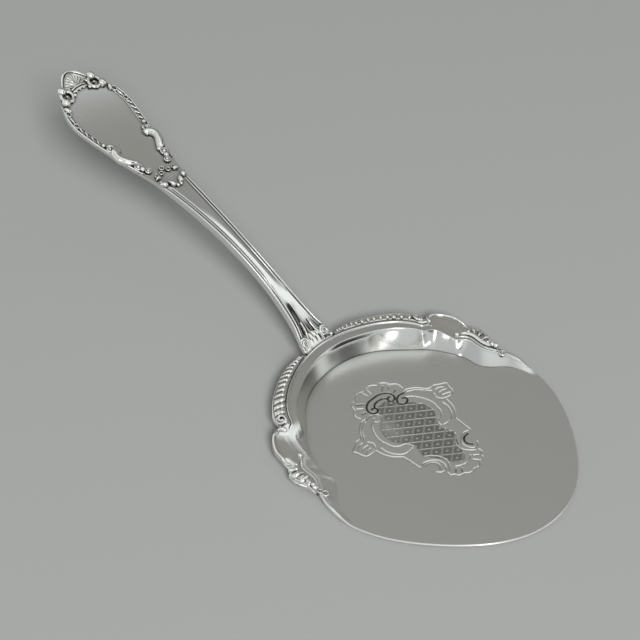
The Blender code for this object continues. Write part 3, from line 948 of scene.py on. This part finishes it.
def makeApron():
    rows = []
    for across in spread(-heel["apronHalf"], heel["apronHalf"], 72):
        angle = math.degrees(math.asin(abs(across) / heelReach))
        height = handle["stemThick"] / 2 - 0.15
        start = Vector(onHandle(heel["apronFrom"], across * heel["apronDraw"], height))
        end = Vector(around(angle, ridgeRadius(angle) - 0.1, ridgeHeight(angle) + 0.12))
        end.y = math.copysign(end.y, across)
        flute = abs(math.sin(math.pi * heel["flutes"] * across / (2 * heel["apronHalf"])))
        top = []
        for t in spread(0.0, 1.0, 12):
            swell = heel["apronSwell"] * math.sin(math.pi * t)
            swell += heel["fluteHeight"] * flute * math.sin(math.pi * t**0.6)
            top.append(tuple(start.lerp(end, t) + Vector((0, 0, swell))))
        base = Vector((0, 0, heel["apronBase"]))
        rows.append(top + [tuple(start.lerp(end, t) - base) for t in spread(1.0, 0.0, 3)])
    return layRows("heelApron", rows)


def makeLeaf():
    rows = []
    for t in spread(0.0, 1.0, 40):
        place = heel["leafFrom"] + (heel["leafTo"] - heel["leafFrom"]) * t
        half = heel["leafHalf"] * (1 - t) ** 1.3 + heel["leafLeast"]
        lift = heel["leafHeight"] * (1 - heel["leafFall"] * t)
        level = thickness(place) / 2
        top = []
        for k in spread(-1.0, 1.0, 12):
            ridge = lift * (1 - abs(k)) ** 0.8
            top.append(onHandle(place, k * half, level - heel["leafSunk"] + ridge))
        under = [onHandle(place, k * half, level - heel["leafBase"]) for k in spread(1.0, -1.0, 4)]
        rows.append(top + under)
    return joinPieces("heelLeaf", [layRows("leafDrop", rows), makeApron()])


def makeVolute():
    place, across = heel["eye"]
    pieces = [
        handleCurl("voluteCurl", heel["eye"], heel["curl"], heel["curlThick"], 0.4),
        stamp(ringModel, handleFrame(place, across, heel["eyeLift"]), (heel["eyeSize"] * 1.3,) * 3),
        handleWire("voluteStem", heel["stem"], heel["stemThick"], heel["stemLift"]),
    ]
    pieces += stampRow(beadModel, handleFrame, heel["beads"], heel["beadLift"])
    pieces += stampRow(dropModel, handleFrame, heel["drops"], heel["beadLift"], heel["dropShape"])
    return joinPieces("heelVoluteRight", pieces)


heelLeaf = makeLeaf()
heelVoluteRight = makeVolute()
heelVoluteLeft = mirrorPiece(heelVoluteRight, "heelVoluteLeft")
print("heel ornaments made")


# frame of the end panel: threaded edge with husks, curl, rolled scroll and rings

panelFrame = {
    "from": 0.626, "to": 0.918, "steps": 90, "floor": 0.05, "base": 0.5,
    "width": ((0.626, 1.2), (0.70, 1.3), (0.75, 1.9), (0.83, 2.1), (0.918, 1.9)),
    "edgeIn": 0.28, "edgeThick": 0.34, "edgeLift": 0.16,
    "inner": (0.768, 0.908, 20), "innerThick": 0.17, "innerLift": 0.08,
    "leaves": ((0.876, 1.7, 0.68), (0.84, 1.2, 0.6), (0.82, 1.2, 0.6), (0.8, 1.15, 0.6), (0.781, 1.05, 0.58)),
    "leafIn": 1.2, "leafTurn": 14, "leafTall": 0.5, "leafLift": 0.2,
    "loops": ((0.898, 0.95), (0.857, 0.85)), "loopIn": 1.15, "loopLift": 0.3, "loopShape": (1.2, 0.9, 1),
    "blocks": ((0.910, 8.35, 1.1, 0.75), (0.903, 8.0, 0.6, 0.5), (0.765, 8.05, 0.7, 0.6)), "blockTall": 0.75,
    "rings": ((0.6525, 5.2, 1.3), (0.626, 3.8, 1.05)), "ringLift": 0.4, "ringBead": (0.55, 0.55, 0.5),
    "beads": ((0.6395, 4.75, 0.85), (0.668, 4.7, 0.8), (0.727, 5.7, 0.55)), "beadLift": 0.35,
    "curlAt": (0.7445, 7.35), "curl": (1.35, 0.6, 20, -1.2), "curlThick": 0.42, "curlBead": (0.55, 0.55, 0.7),
    # rolled scroll: place, across, radius
    "rollLift": 0.35, "roll": (
        (0.735, 5.1, 0.85), (0.733, 6.3, 1.2), (0.7255, 7.2, 1.35), (0.715, 7.65, 1.3), (0.703, 7.6, 1.35),
        (0.691, 7.1, 1.4), (0.681, 6.35, 1.3), (0.673, 5.5, 1.1), (0.669, 4.8, 0.85),
    ),
}
frameWidth = smoothCurve(panelFrame["width"])


def frameFloor(places):
    rows = []
    for place in places:
        outer = halfWidth(place)
        columns = [outer - frameWidth(place) * (1 - share) for share in spread(0.0, 1.0, 8)]
        level = thickness(place) / 2 + panelFrame["floor"]
        top = [onHandle(place, across, level - (0.3 if across == columns[0] else 0.0)) for across in columns]
        rows.append(top + [onHandle(place, across, level - panelFrame["base"]) for across in columns[::-3]])
    return layRows("frameFloor", rows)


def makeFrame():
    places = spread(panelFrame["from"], panelFrame["to"], panelFrame["steps"])
    pieces = [frameFloor(places)]
    line = [(place, halfWidth(place) - panelFrame["edgeIn"]) for place in places[::3]]
    pieces.append(handleWire("frameEdge", line, panelFrame["edgeThick"], panelFrame["edgeLift"]))
    line = [(place, halfWidth(place) - frameWidth(place)) for place in spread(*panelFrame["inner"])]
    pieces.append(handleWire("frameInside", line, panelFrame["innerThick"], panelFrame["innerLift"]))
    for place, length, wide in panelFrame["leaves"]:
        turn = edgeTurn(place) + panelFrame["leafTurn"]
        spot = handleFrame(place, halfWidth(place) - panelFrame["leafIn"], panelFrame["leafLift"], turn)
        pieces.append(stamp(dropModel, spot, (length, wide, panelFrame["leafTall"])))
    loops = [(place, halfWidth(place) - panelFrame["loopIn"], size) for place, size in panelFrame["loops"]]
    pieces += stampRow(ringModel, handleFrame, loops, panelFrame["loopLift"], panelFrame["loopShape"])
    for place, across, length, wide in panelFrame["blocks"]:
        spot = handleFrame(place, across, 0.25, edgeTurn(place))
        pieces.append(stamp(beadModel, spot, (length, wide, panelFrame["blockTall"])))
    for model, shape in ((ringModel, (1, 1, 1)), (beadModel, panelFrame["ringBead"])):
        pieces += stampRow(model, handleFrame, panelFrame["rings"], panelFrame["ringLift"], shape)
    pieces += stampRow(beadModel, handleFrame, panelFrame["beads"], panelFrame["beadLift"])
    curl = (panelFrame["curlAt"], panelFrame["curl"], panelFrame["curlThick"], 0.4)
    pieces.append(handleCurl("edgeCurl", *curl))
    spot = handleFrame(*panelFrame["curlAt"], panelFrame["beadLift"])
    pieces.append(stamp(beadModel, spot, panelFrame["curlBead"]))
    line = throughPoints(panelFrame["roll"], 5)
    spots = [offFace(place, across, panelFrame["rollLift"]) for place, across, radius in line]
    pieces.append(drawWire("sideRoll", spots, [radius for place, across, radius in line], 4))
    return joinPieces("frameRight", pieces)


frameRight = makeFrame()
frameLeft = mirrorPiece(frameRight, "frameLeft")
print("panel frame:", len(frameRight.data.polygons), "faces each")


# rosettes, shell and palmette

rosette = {
    "middle": (0.943, 5.3), "size": (2.35, 2.35, 1.7), "lift": 0.4, "beadLift": 0.45,
    "beads": (
        (0.9615, 5.7, 1.4), (0.9285, 7.1, 1.35), (0.9365, 3.0, 0.6), (0.956, 3.4, 0.5), (0.925, 5.0, 0.5),
    ),
}
shell = {
    "hinge": 0.957, "ribs": 11, "ribHeight": 0.16, "ribFrom": (0.12, 0.2), "ribTo": (0.66, 0.74), "steps": 40,
    "outline": ((0.962, 5.4), (0.976, 4.4), (0.988, 3.4), (0.998, 2.3), (1.006, 1.0), (1.009, 0.0)),
    # from the hinge to the rim: share, height
    "lift": (
        (0.0, 0.3), (0.1, 0.2), (0.72, 0.12), (0.76, 0.1), (0.8, 0.42), (0.845, 0.05), (0.9, 0.4),
        (0.95, 0.46), (1.0, 0.1),
    ),
    "arcs": ((0.9475, 2.9, 0.42), (0.9555, 2.8, 0.34)), "arcLift": 0.2,
    "arcShape": ((-0.004, -1), (0, -0.5), (0.001, 0), (0, 0.5), (-0.004, 1)),
    "loops": ((0.9445, 1.5, 0.6), (0.9445, 0.0, 0.45)), "loopShape": (0.8, 1, 1), "loopLift": 0.1,
}
palmette = {
    "from": 0.535, "to": 0.612, "middle": 0.583, "half": 4.2, "level": 0.02, "hatch": 10, "hatchHeight": 0.07,
    "hatchSunk": 0.12, "base": 0.5, "lift": 0.35, "lobeShape": (1.2, 1, 1),
    "lobes": ((0.5625, 3.9, 1.15), (0.5535, 1.65, 1.15), (0.542, 0.6, 0.75), (0.589, 3.5, 0.9)),
    "rings": ((0.611, 0.0, 0.85), (0.5985, 1.35, 0.8), (0.5965, 3.2, 0.7)),
}


def makeRosette():
    pieces = [stamp(ringModel, handleFrame(*rosette["middle"], rosette["lift"]), rosette["size"])]
    pieces += stampRow(beadModel, handleFrame, rosette["beads"], rosette["beadLift"])
    return joinPieces("tipRosetteRight", pieces)


def shellFan():
    # low fan: ribbed inside, two threads along its rim
    half = throughPoints(shell["outline"], 8)
    outline = [(place, -across) for place, across in half] + half[-2::-1]
    lift = smoothCurve(shell["lift"])
    last = len(outline) - 1
    level = handle["panelThick"] / 2
    rows = []
    for t in spread(0.06, 1.0, shell["steps"]):
        ribbed = between(t, shell["ribFrom"], shell["ribTo"])
        top = []
        under = []
        for i, (place, across) in enumerate(outline):
            wave = abs(math.sin(math.pi * shell["ribs"] * i / last))
            spot = shell["hinge"] + (place - shell["hinge"]) * t
            height = level + lift(t) + shell["ribHeight"] * ribbed * (wave - 0.6)
            top.append(onHandle(spot, across * t, height))
            under.append(onHandle(spot, across * t, level - 0.3))
        rows.append(top + under[::-1])
    return layRows("shellFan", rows)


def makeShell():
    pieces = [shellFan()]
    for place, half, thick in shell["arcs"]:
        line = [(place + ahead, half * share) for ahead, share in shell["arcShape"]]
        pieces.append(handleWire("shellArc", line, thick, shell["arcLift"]))
    loops = bothSides(shell["loops"])
    pieces += stampRow(beadModel, handleFrame, loops, shell["loopLift"], shell["loopShape"])
    return joinPieces("tipShell", pieces)


def palmettePlate():
    # low, faintly hatched plate
    rows = []
    for t in spread(0.0, 1.0, 64):
        place = palmette["from"] + (palmette["to"] - palmette["from"]) * t
        half = min(0.9 * halfWidth(place), palmette["half"] * math.sin(math.pi * (0.1 + 0.8 * t)) ** 0.5)
        wave = abs(math.sin(math.pi * palmette["hatch"] * t))
        hatch = palmette["hatchHeight"] * wave - palmette["hatchSunk"]
        level = thickness(place) / 2
        top = []
        for k in spread(-1.0, 1.0, 16):
            edge = 0.3 if abs(k) == 1.0 else 0.0
            top.append(onHandle(place, k * half, level + palmette["level"] + hatch * (1 - k * k) - edge))
        rows.append(top + [onHandle(place, k * half, level - palmette["base"]) for k in spread(1.0, -1.0, 6)])
    return layRows("palmettePlate", rows)


def makePalmette():
    # lobes and rings round the plate
    pieces = [palmettePlate()]
    for place, across, size in bothSides(palmette["lobes"]):
        turn = math.degrees(math.atan2(across, (place - palmette["middle"]) * handle["stretch"]))
        spot = handleFrame(place, across, palmette["lift"], turn)
        pieces.append(stamp(dropModel, spot, [size * part for part in palmette["lobeShape"]]))
    pieces += stampRow(ringModel, handleFrame, bothSides(palmette["rings"]), palmette["lift"])
    return joinPieces("basePalmette", pieces)


tipRosetteRight = makeRosette()
tipRosetteLeft = mirrorPiece(tipRosetteRight, "tipRosetteLeft")
tipShell = makeShell()
basePalmette = makePalmette()
for model in (beadModel, dropModel, ringModel):
    bpy.data.objects.remove(model)
print("tip and neck ornaments made")


# finishes

marking = {
    "scale": 60.0, "turns": (25, 78, -40), "streak": (1, 26, 6), "streakDetail": 3, "streakFrom": 0.6,
    "streakTo": 0.72, "cloudDetail": 4, "cloudShare": 0.5, "bumpDepth": 0.0001,
    "recessSamples": 8, "recessFrom": 0.95, "recessTo": 0.35,
    "stippleScale": 2200, "stipple": (0.55, 0.8), "darkest": 0.97,
}
castLook = {
    "bright": (0.93, 0.92, 0.885), "tone": (0.82, 0.80, 0.72), "rough": (0.08, 0.14),
    "scratch": 0.03, "bump": 0.05, "engravedAndShade": False,
}
# the recess colour is painted shade in the hollows; on the toned castings it also stands for their toning
finishes = {
    "plateSilver": {
        "bright": (0.90, 0.895, 0.865), "tone": (0.80, 0.785, 0.735), "recess": (0.035, 0.034, 0.03),
        "rough": (0.12, 0.16), "satin": 0.14, "scratch": 0.015, "bump": 0.003, "reach": 0.002,
        "recessShare": 0.3, "engravedAndShade": True, "wallPaintedShade": 0.27, "cutRough": 0.15,
    },
    "handleSilver": {
        "bright": (0.91, 0.905, 0.88), "tone": (0.80, 0.785, 0.735), "recess": (0.05, 0.048, 0.042),
        "rough": (0.09, 0.15), "scratch": 0.04, "bump": 0.03, "reach": 0.0011,
        "recessShare": 0.9, "engravedAndShade": False,
    },
    "borderSilver": {**castLook, "recess": (0.13, 0.123, 0.105), "reach": 0.0022, "recessShare": 0.75},
    "castSilver": {**castLook, "recess": (0.055, 0.052, 0.045), "reach": 0.0032, "recessShare": 1.0},
}


def addNode(tree, kind, inputs, **settings):
    # each input gets a link or a value
    node = tree.nodes.new(kind)
    for name, value in settings.items():
        setattr(node, name, value)
    for socket, value in inputs.items():
        if isinstance(value, bpy.types.NodeSocket):
            tree.links.new(value, node.inputs[socket])
        else:
            node.inputs[socket].default_value = value
    return node


def numberNode(tree, operation, first, second):
    return addNode(tree, "ShaderNodeMath", {0: first, 1: second}, operation=operation).outputs[0]


def plusShare(tree, base, value, share):
    return numberNode(tree, "ADD", base, numberNode(tree, "MULTIPLY", value, share))


def mixColours(tree, factor, *colours):
    inputs = {"Factor": factor}
    for socket, colour in zip("AB", colours):
        inputs[socket] = (*colour, 1) if isinstance(colour, tuple) else colour
    return addNode(tree, "ShaderNodeMix", inputs, data_type="RGBA").outputs["Result"]


def newGroup(name, inputs, outputs):
    group = bpy.data.node_groups.new(name, "ShaderNodeTree")
    for socket, value in inputs.items():
        taken = group.interface.new_socket(name=socket, in_out="INPUT", socket_type="NodeSocketFloat")
        taken.default_value = value
    for socket in outputs:
        group.interface.new_socket(name=socket, in_out="OUTPUT", socket_type="NodeSocketFloat")
    return group, group.nodes.new("NodeGroupInput"), group.nodes.new("NodeGroupOutput")


def makeHandlingMarks():
    # fine use scratches and soft cloudiness of worn silver
    scales = {"Scratch Scale": marking["scale"], "Cloud Scale": marking["scale"]}
    group, take, give = newGroup("handlingMarks", scales, ("Scratches", "Clouds"))
    place = group.nodes.new("ShaderNodeTexCoord").outputs["Object"]
    scratches = 0.0
    for turn in marking["turns"]:
        lay = {"Vector": place, "Rotation": (0, 0, math.radians(turn)), "Scale": marking["streak"]}
        laid = addNode(group, "ShaderNodeMapping", lay).outputs["Vector"]
        noise = {"Vector": laid, "Scale": take.outputs["Scratch Scale"], "Detail": marking["streakDetail"]}
        streak = addNode(group, "ShaderNodeTexNoise", noise).outputs["Fac"]
        edges = {"Value": streak, "From Min": marking["streakFrom"], "From Max": marking["streakTo"]}
        thin = addNode(group, "ShaderNodeMapRange", edges).outputs["Result"]
        scratches = numberNode(group, "MAXIMUM", scratches, thin)
    group.links.new(scratches, give.inputs["Scratches"])
    noise = {"Vector": place, "Scale": take.outputs["Cloud Scale"], "Detail": marking["cloudDetail"]}
    group.links.new(addNode(group, "ShaderNodeTexNoise", noise).outputs["Fac"], give.inputs["Clouds"])
    return group


def makeRecessShadeAndToning():
    # how deep a spot lies between its neighbours, as the mask of the painted shade in recesses
    group, take, give = newGroup("recessShadeAndToning", {"Reach": 0.0015}, ("Recess",))
    reach = {"Distance": take.outputs["Reach"]}
    shade = addNode(group, "ShaderNodeAmbientOcclusion", reach, samples=marking["recessSamples"])
    edges = {"Value": shade.outputs["AO"], "From Min": marking["recessFrom"], "From Max": marking["recessTo"]}
    group.links.new(addNode(group, "ShaderNodeMapRange", edges).outputs["Result"], give.inputs["Recess"])
    return group


handlingMarks = makeHandlingMarks()
recessShadeAndToning = makeRecessShadeAndToning()


def makeSilver(name):
    finish = finishes[name]
    material = bpy.data.materials.new(name)
    material.use_nodes = True
    tree = material.node_tree
    shader = tree.nodes["Principled BSDF"]
    shader.inputs["Metallic"].default_value = 1.0
    marks = addNode(tree, "ShaderNodeGroup", {}, node_tree=handlingMarks).outputs
    # painted shade in the recesses from ambient occlusion, and on the toned castings also their toning
    tone = addNode(tree, "ShaderNodeGroup", {}, node_tree=recessShadeAndToning)
    tone.inputs["Reach"].default_value = finish["reach"]
    recess = numberNode(tree, "MULTIPLY", tone.outputs["Recess"], finish["recessShare"])
    clouded = numberNode(tree, "MULTIPLY", marks["Clouds"], marking["cloudShare"])
    colour = mixColours(tree, clouded, finish["bright"], finish["tone"])
    colour = mixColours(tree, recess, colour, finish["recess"])
    smooth, dull = finish["rough"]
    rough = plusShare(tree, smooth, marks["Clouds"], dull - smooth)
    rough = plusShare(tree, rough, marks["Scratches"], finish["scratch"])
    if finish["engravedAndShade"]:
        cut, worked, wall = (
            addNode(tree, "ShaderNodeAttribute", {}, attribute_name=attribute).outputs["Fac"]
            for attribute in ("engravedAndShade", "polished", "paintedShade")
        )
        place = tree.nodes.new("ShaderNodeTexCoord").outputs["Object"]
        noise = {"Vector": place, "Scale": marking["stippleScale"], "Detail": 1}
        least, share = marking["stipple"]
        grain = plusShare(tree, least, addNode(tree, "ShaderNodeTexNoise", noise).outputs["Fac"], share)
        # dark of the engraving, with its painted reflection, and the painted shade line at the wall's foot
        darkened = numberNode(tree, "MINIMUM", numberNode(tree, "MULTIPLY", cut, grain), marking["darkest"])
        colour = mixColours(tree, darkened, colour, finish["recess"])
        # painted shade over the blade's wall and its bright cuts
        shade = numberNode(tree, "MULTIPLY", wall, finish["wallPaintedShade"])
        colour = mixColours(tree, shade, colour, (0.0, 0.0, 0.0))
        rough = plusShare(tree, rough, numberNode(tree, "SUBTRACT", 1.0, worked), finish["satin"])
        rough = plusShare(tree, rough, cut, finish["cutRough"])
    marked = {"Strength": finish["bump"], "Distance": marking["bumpDepth"], "Height": marks["Scratches"]}
    bump = addNode(tree, "ShaderNodeBump", marked).outputs["Normal"]
    for socket, value in (("Base Color", colour), ("Roughness", rough), ("Normal", bump)):
        tree.links.new(value, shader.inputs[socket])
    return material


silvers = {name: makeSilver(name) for name in finishes}
print("finishes made")


# every piece stands for its node and rides on the one body

pieceTable = (
    (silverBlade, "blade", "plateSilver", "polished_silver"),
    (silverHandle, "handle", "handleSilver", "polished_silver"),
    (rimBorderRight, "rim_border_right", "borderSilver", "toned_silver"),
    (rimBorderLeft, "rim_border_left", "borderSilver", "toned_silver"),
    (heelLeaf, "heel_leaf", "castSilver", "toned_silver"),
    (heelVoluteRight, "heel_volute_right", "castSilver", "toned_silver"),
    (heelVoluteLeft, "heel_volute_left", "castSilver", "toned_silver"),
    (frameRight, "frame_right", "castSilver", "toned_silver"),
    (frameLeft, "frame_left", "castSilver", "toned_silver"),
    (tipRosetteRight, "tip_rosette_right", "castSilver", "toned_silver"),
    (tipRosetteLeft, "tip_rosette_left", "castSilver", "toned_silver"),
    (tipShell, "tip_shell", "castSilver", "toned_silver"),
    (basePalmette, "base_palmette", "castSilver", "toned_silver"),
)
for piece, node, finish, slot in pieceTable:
    piece.data.materials.clear()
    piece.data.materials.append(silvers[finish])
    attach(piece, "root")
    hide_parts(node)
print("pieces ride on the root body:", len(pieceTable))


# floor, light and camera

studio = {
    "floorSize": 3.0, "floorLevel": -0.0001, "floorColour": (0.31, 0.313, 0.304), "floorRough": 0.75,
    "greyWay": (-0.453, 0.855, 0.252),
    # brightness against closeness to the grey wall's direction
    "walls": (
        (-1.0, 0.68), (-0.3, 0.8), (0.0, 0.9), (0.3, 0.98), (0.48, 1.0), (0.59, 0.6), (0.69, 0.29),
        (0.85, 0.27), (1.0, 0.262),
    ),
    # things in the room: direction, where their edge begins and ends, brightness, strength
    "patches": (
        ((0.74, -0.62, 0.25), (0.9, 0.97), 0.82, 0.9),
        ((-0.396, -0.507, 0.766), (0.7, 0.97), 0.54, 0.7),
        ((0.832, 0.207, 0.515), (0.94, 0.985), 0.02, 0.97),
        ((0.352, 0.835, 0.423), (0.972, 0.99), 0.0, 0.93),
        ((0.52, -0.47, 0.71), (0.988, 0.996), 0.02, 0.75),
    ),
    # daylight is cool, the grey wall slightly warm
    "tintFrom": 0.4, "brightTint": (0.955, 1.0, 1.015), "greyTint": (1.0, 1.0, 0.965), "fill": 0.42,
    # place, aim, size, power, mirrored; the key only throws shadows, the cards only show in the silver
    "lights": {
        "keyBox": ((1.74, -1.37, 2.03), (-0.05, 0.03, 0), (0.8, 0.8), 127.0, False),
        "wallCard": ((0.66, -0.34, 0.62), (0, 0, 0), (0.32, 0.32), 1.15, True),
        "stripCard": ((0.8, -0.44, 0.13), (0, 0, 0), (0.11, 0.26), 0.25, True),
        "sideCard": ((0.05, -0.74, 0.67), (0, 0, 0), (0.17, 0.17), 0.31, True),
    },
    "camera": (236.6, -302.8, 402.9), "target": (-56.8, 14.15, 0.0), "roll": 0.51,
    "lens": 112.5, "sensor": 36.0,
}


def makeFloor():
    bpy.ops.mesh.primitive_plane_add(size=studio["floorSize"], location=(0, 0, studio["floorLevel"]))
    floor = bpy.context.object
    floor.name = "floor"
    material = bpy.data.materials.new("paleFloor")
    material.use_nodes = True
    shader = material.node_tree.nodes["Principled BSDF"]
    shader.inputs["Base Color"].default_value = (*studio["floorColour"], 1)
    shader.inputs["Roughness"].default_value = studio["floorRough"]
    floor.data.materials.append(material)


def addSoftbox(name, place, aim, size, power, mirrored):
    light = bpy.data.lights.new(name, "AREA")
    light.shape = "RECTANGLE"
    light.size, light.size_y = size
    light.energy = power
    box = bpy.data.objects.new(name, light)
    bpy.context.scene.collection.objects.link(box)
    box.location = place
    box.rotation_euler = (Vector(aim) - Vector(place)).to_track_quat("-Z", "Y").to_euler()
    box.visible_glossy = mirrored
    box.visible_diffuse = not mirrored
    box.visible_camera = False


def wallColour(level):
    tint = studio["brightTint"] if level > studio["tintFrom"] else studio["greyTint"]
    return tuple(level * part for part in tint)


def makeSurround():
    # grey wall where plate and panel look, light walls and ceiling elsewhere
    world = bpy.data.worlds.new("studioWalls")
    bpy.context.scene.world = world
    world.use_nodes = True
    tree = world.node_tree
    place = tree.nodes.new("ShaderNodeTexCoord").outputs["Generated"]

    def closenessTo(way):
        product = addNode(tree, "ShaderNodeVectorMath", {0: place, 1: way}, operation="DOT_PRODUCT")
        return product.outputs["Value"]

    near = {"Value": closenessTo(studio["greyWay"]), "From Min": -1.0}
    near = addNode(tree, "ShaderNodeMapRange", near).outputs["Result"]
    shade = addNode(tree, "ShaderNodeValToRGB", {"Fac": near})
    ramp = shade.color_ramp.elements
    while len(ramp) < len(studio["walls"]):
        ramp.new(0.5)
    for stop, (closeness, level) in zip(ramp, studio["walls"]):
        stop.position = (closeness + 1) / 2
        stop.color = (*wallColour(level), 1)
    colour = shade.outputs["Color"]
    for way, (edgeStart, edgeEnd), level, strength in studio["patches"]:
        edges = {"Value": closenessTo(Vector(way).normalized()), "From Min": edgeStart, "From Max": edgeEnd}
        edges["To Max"] = strength
        share = addNode(tree, "ShaderNodeMapRange", edges, interpolation_type="SMOOTHSTEP").outputs["Result"]
        colour = mixColours(tree, share, colour, wallColour(level))
    # the walls light the floor less than they show in the silver
    ray = tree.nodes.new("ShaderNodeLightPath").outputs["Is Diffuse Ray"]
    fill = addNode(tree, "ShaderNodeMapRange", {"Value": ray, "To Min": 1.0, "To Max": studio["fill"]})
    background = tree.nodes["Background"]
    tree.links.new(colour, background.inputs["Color"])
    tree.links.new(fill.outputs["Result"], background.inputs["Strength"])


def makeCamera():
    lens = bpy.data.cameras.new("camera")
    lens.lens = studio["lens"]
    lens.sensor_width = studio["sensor"]
    camera = bpy.data.objects.new("camera", lens)
    bpy.context.scene.collection.objects.link(camera)
    camera.location = Vector(studio["camera"]) * mm
    ahead = (Vector(studio["target"]) - Vector(studio["camera"])).to_track_quat("-Z", "Y")
    camera.rotation_mode = "QUATERNION"
    camera.rotation_quaternion = ahead @ Matrix.Rotation(math.radians(studio["roll"]), 3, "Z").to_quaternion()
    bpy.context.scene.camera = camera


makeFloor()
makeSurround()
for name, light in studio["lights"].items():
    addSoftbox(name, *light)
makeCamera()
bpy.context.scene.view_settings.view_transform = "Standard"
print("studio ready")
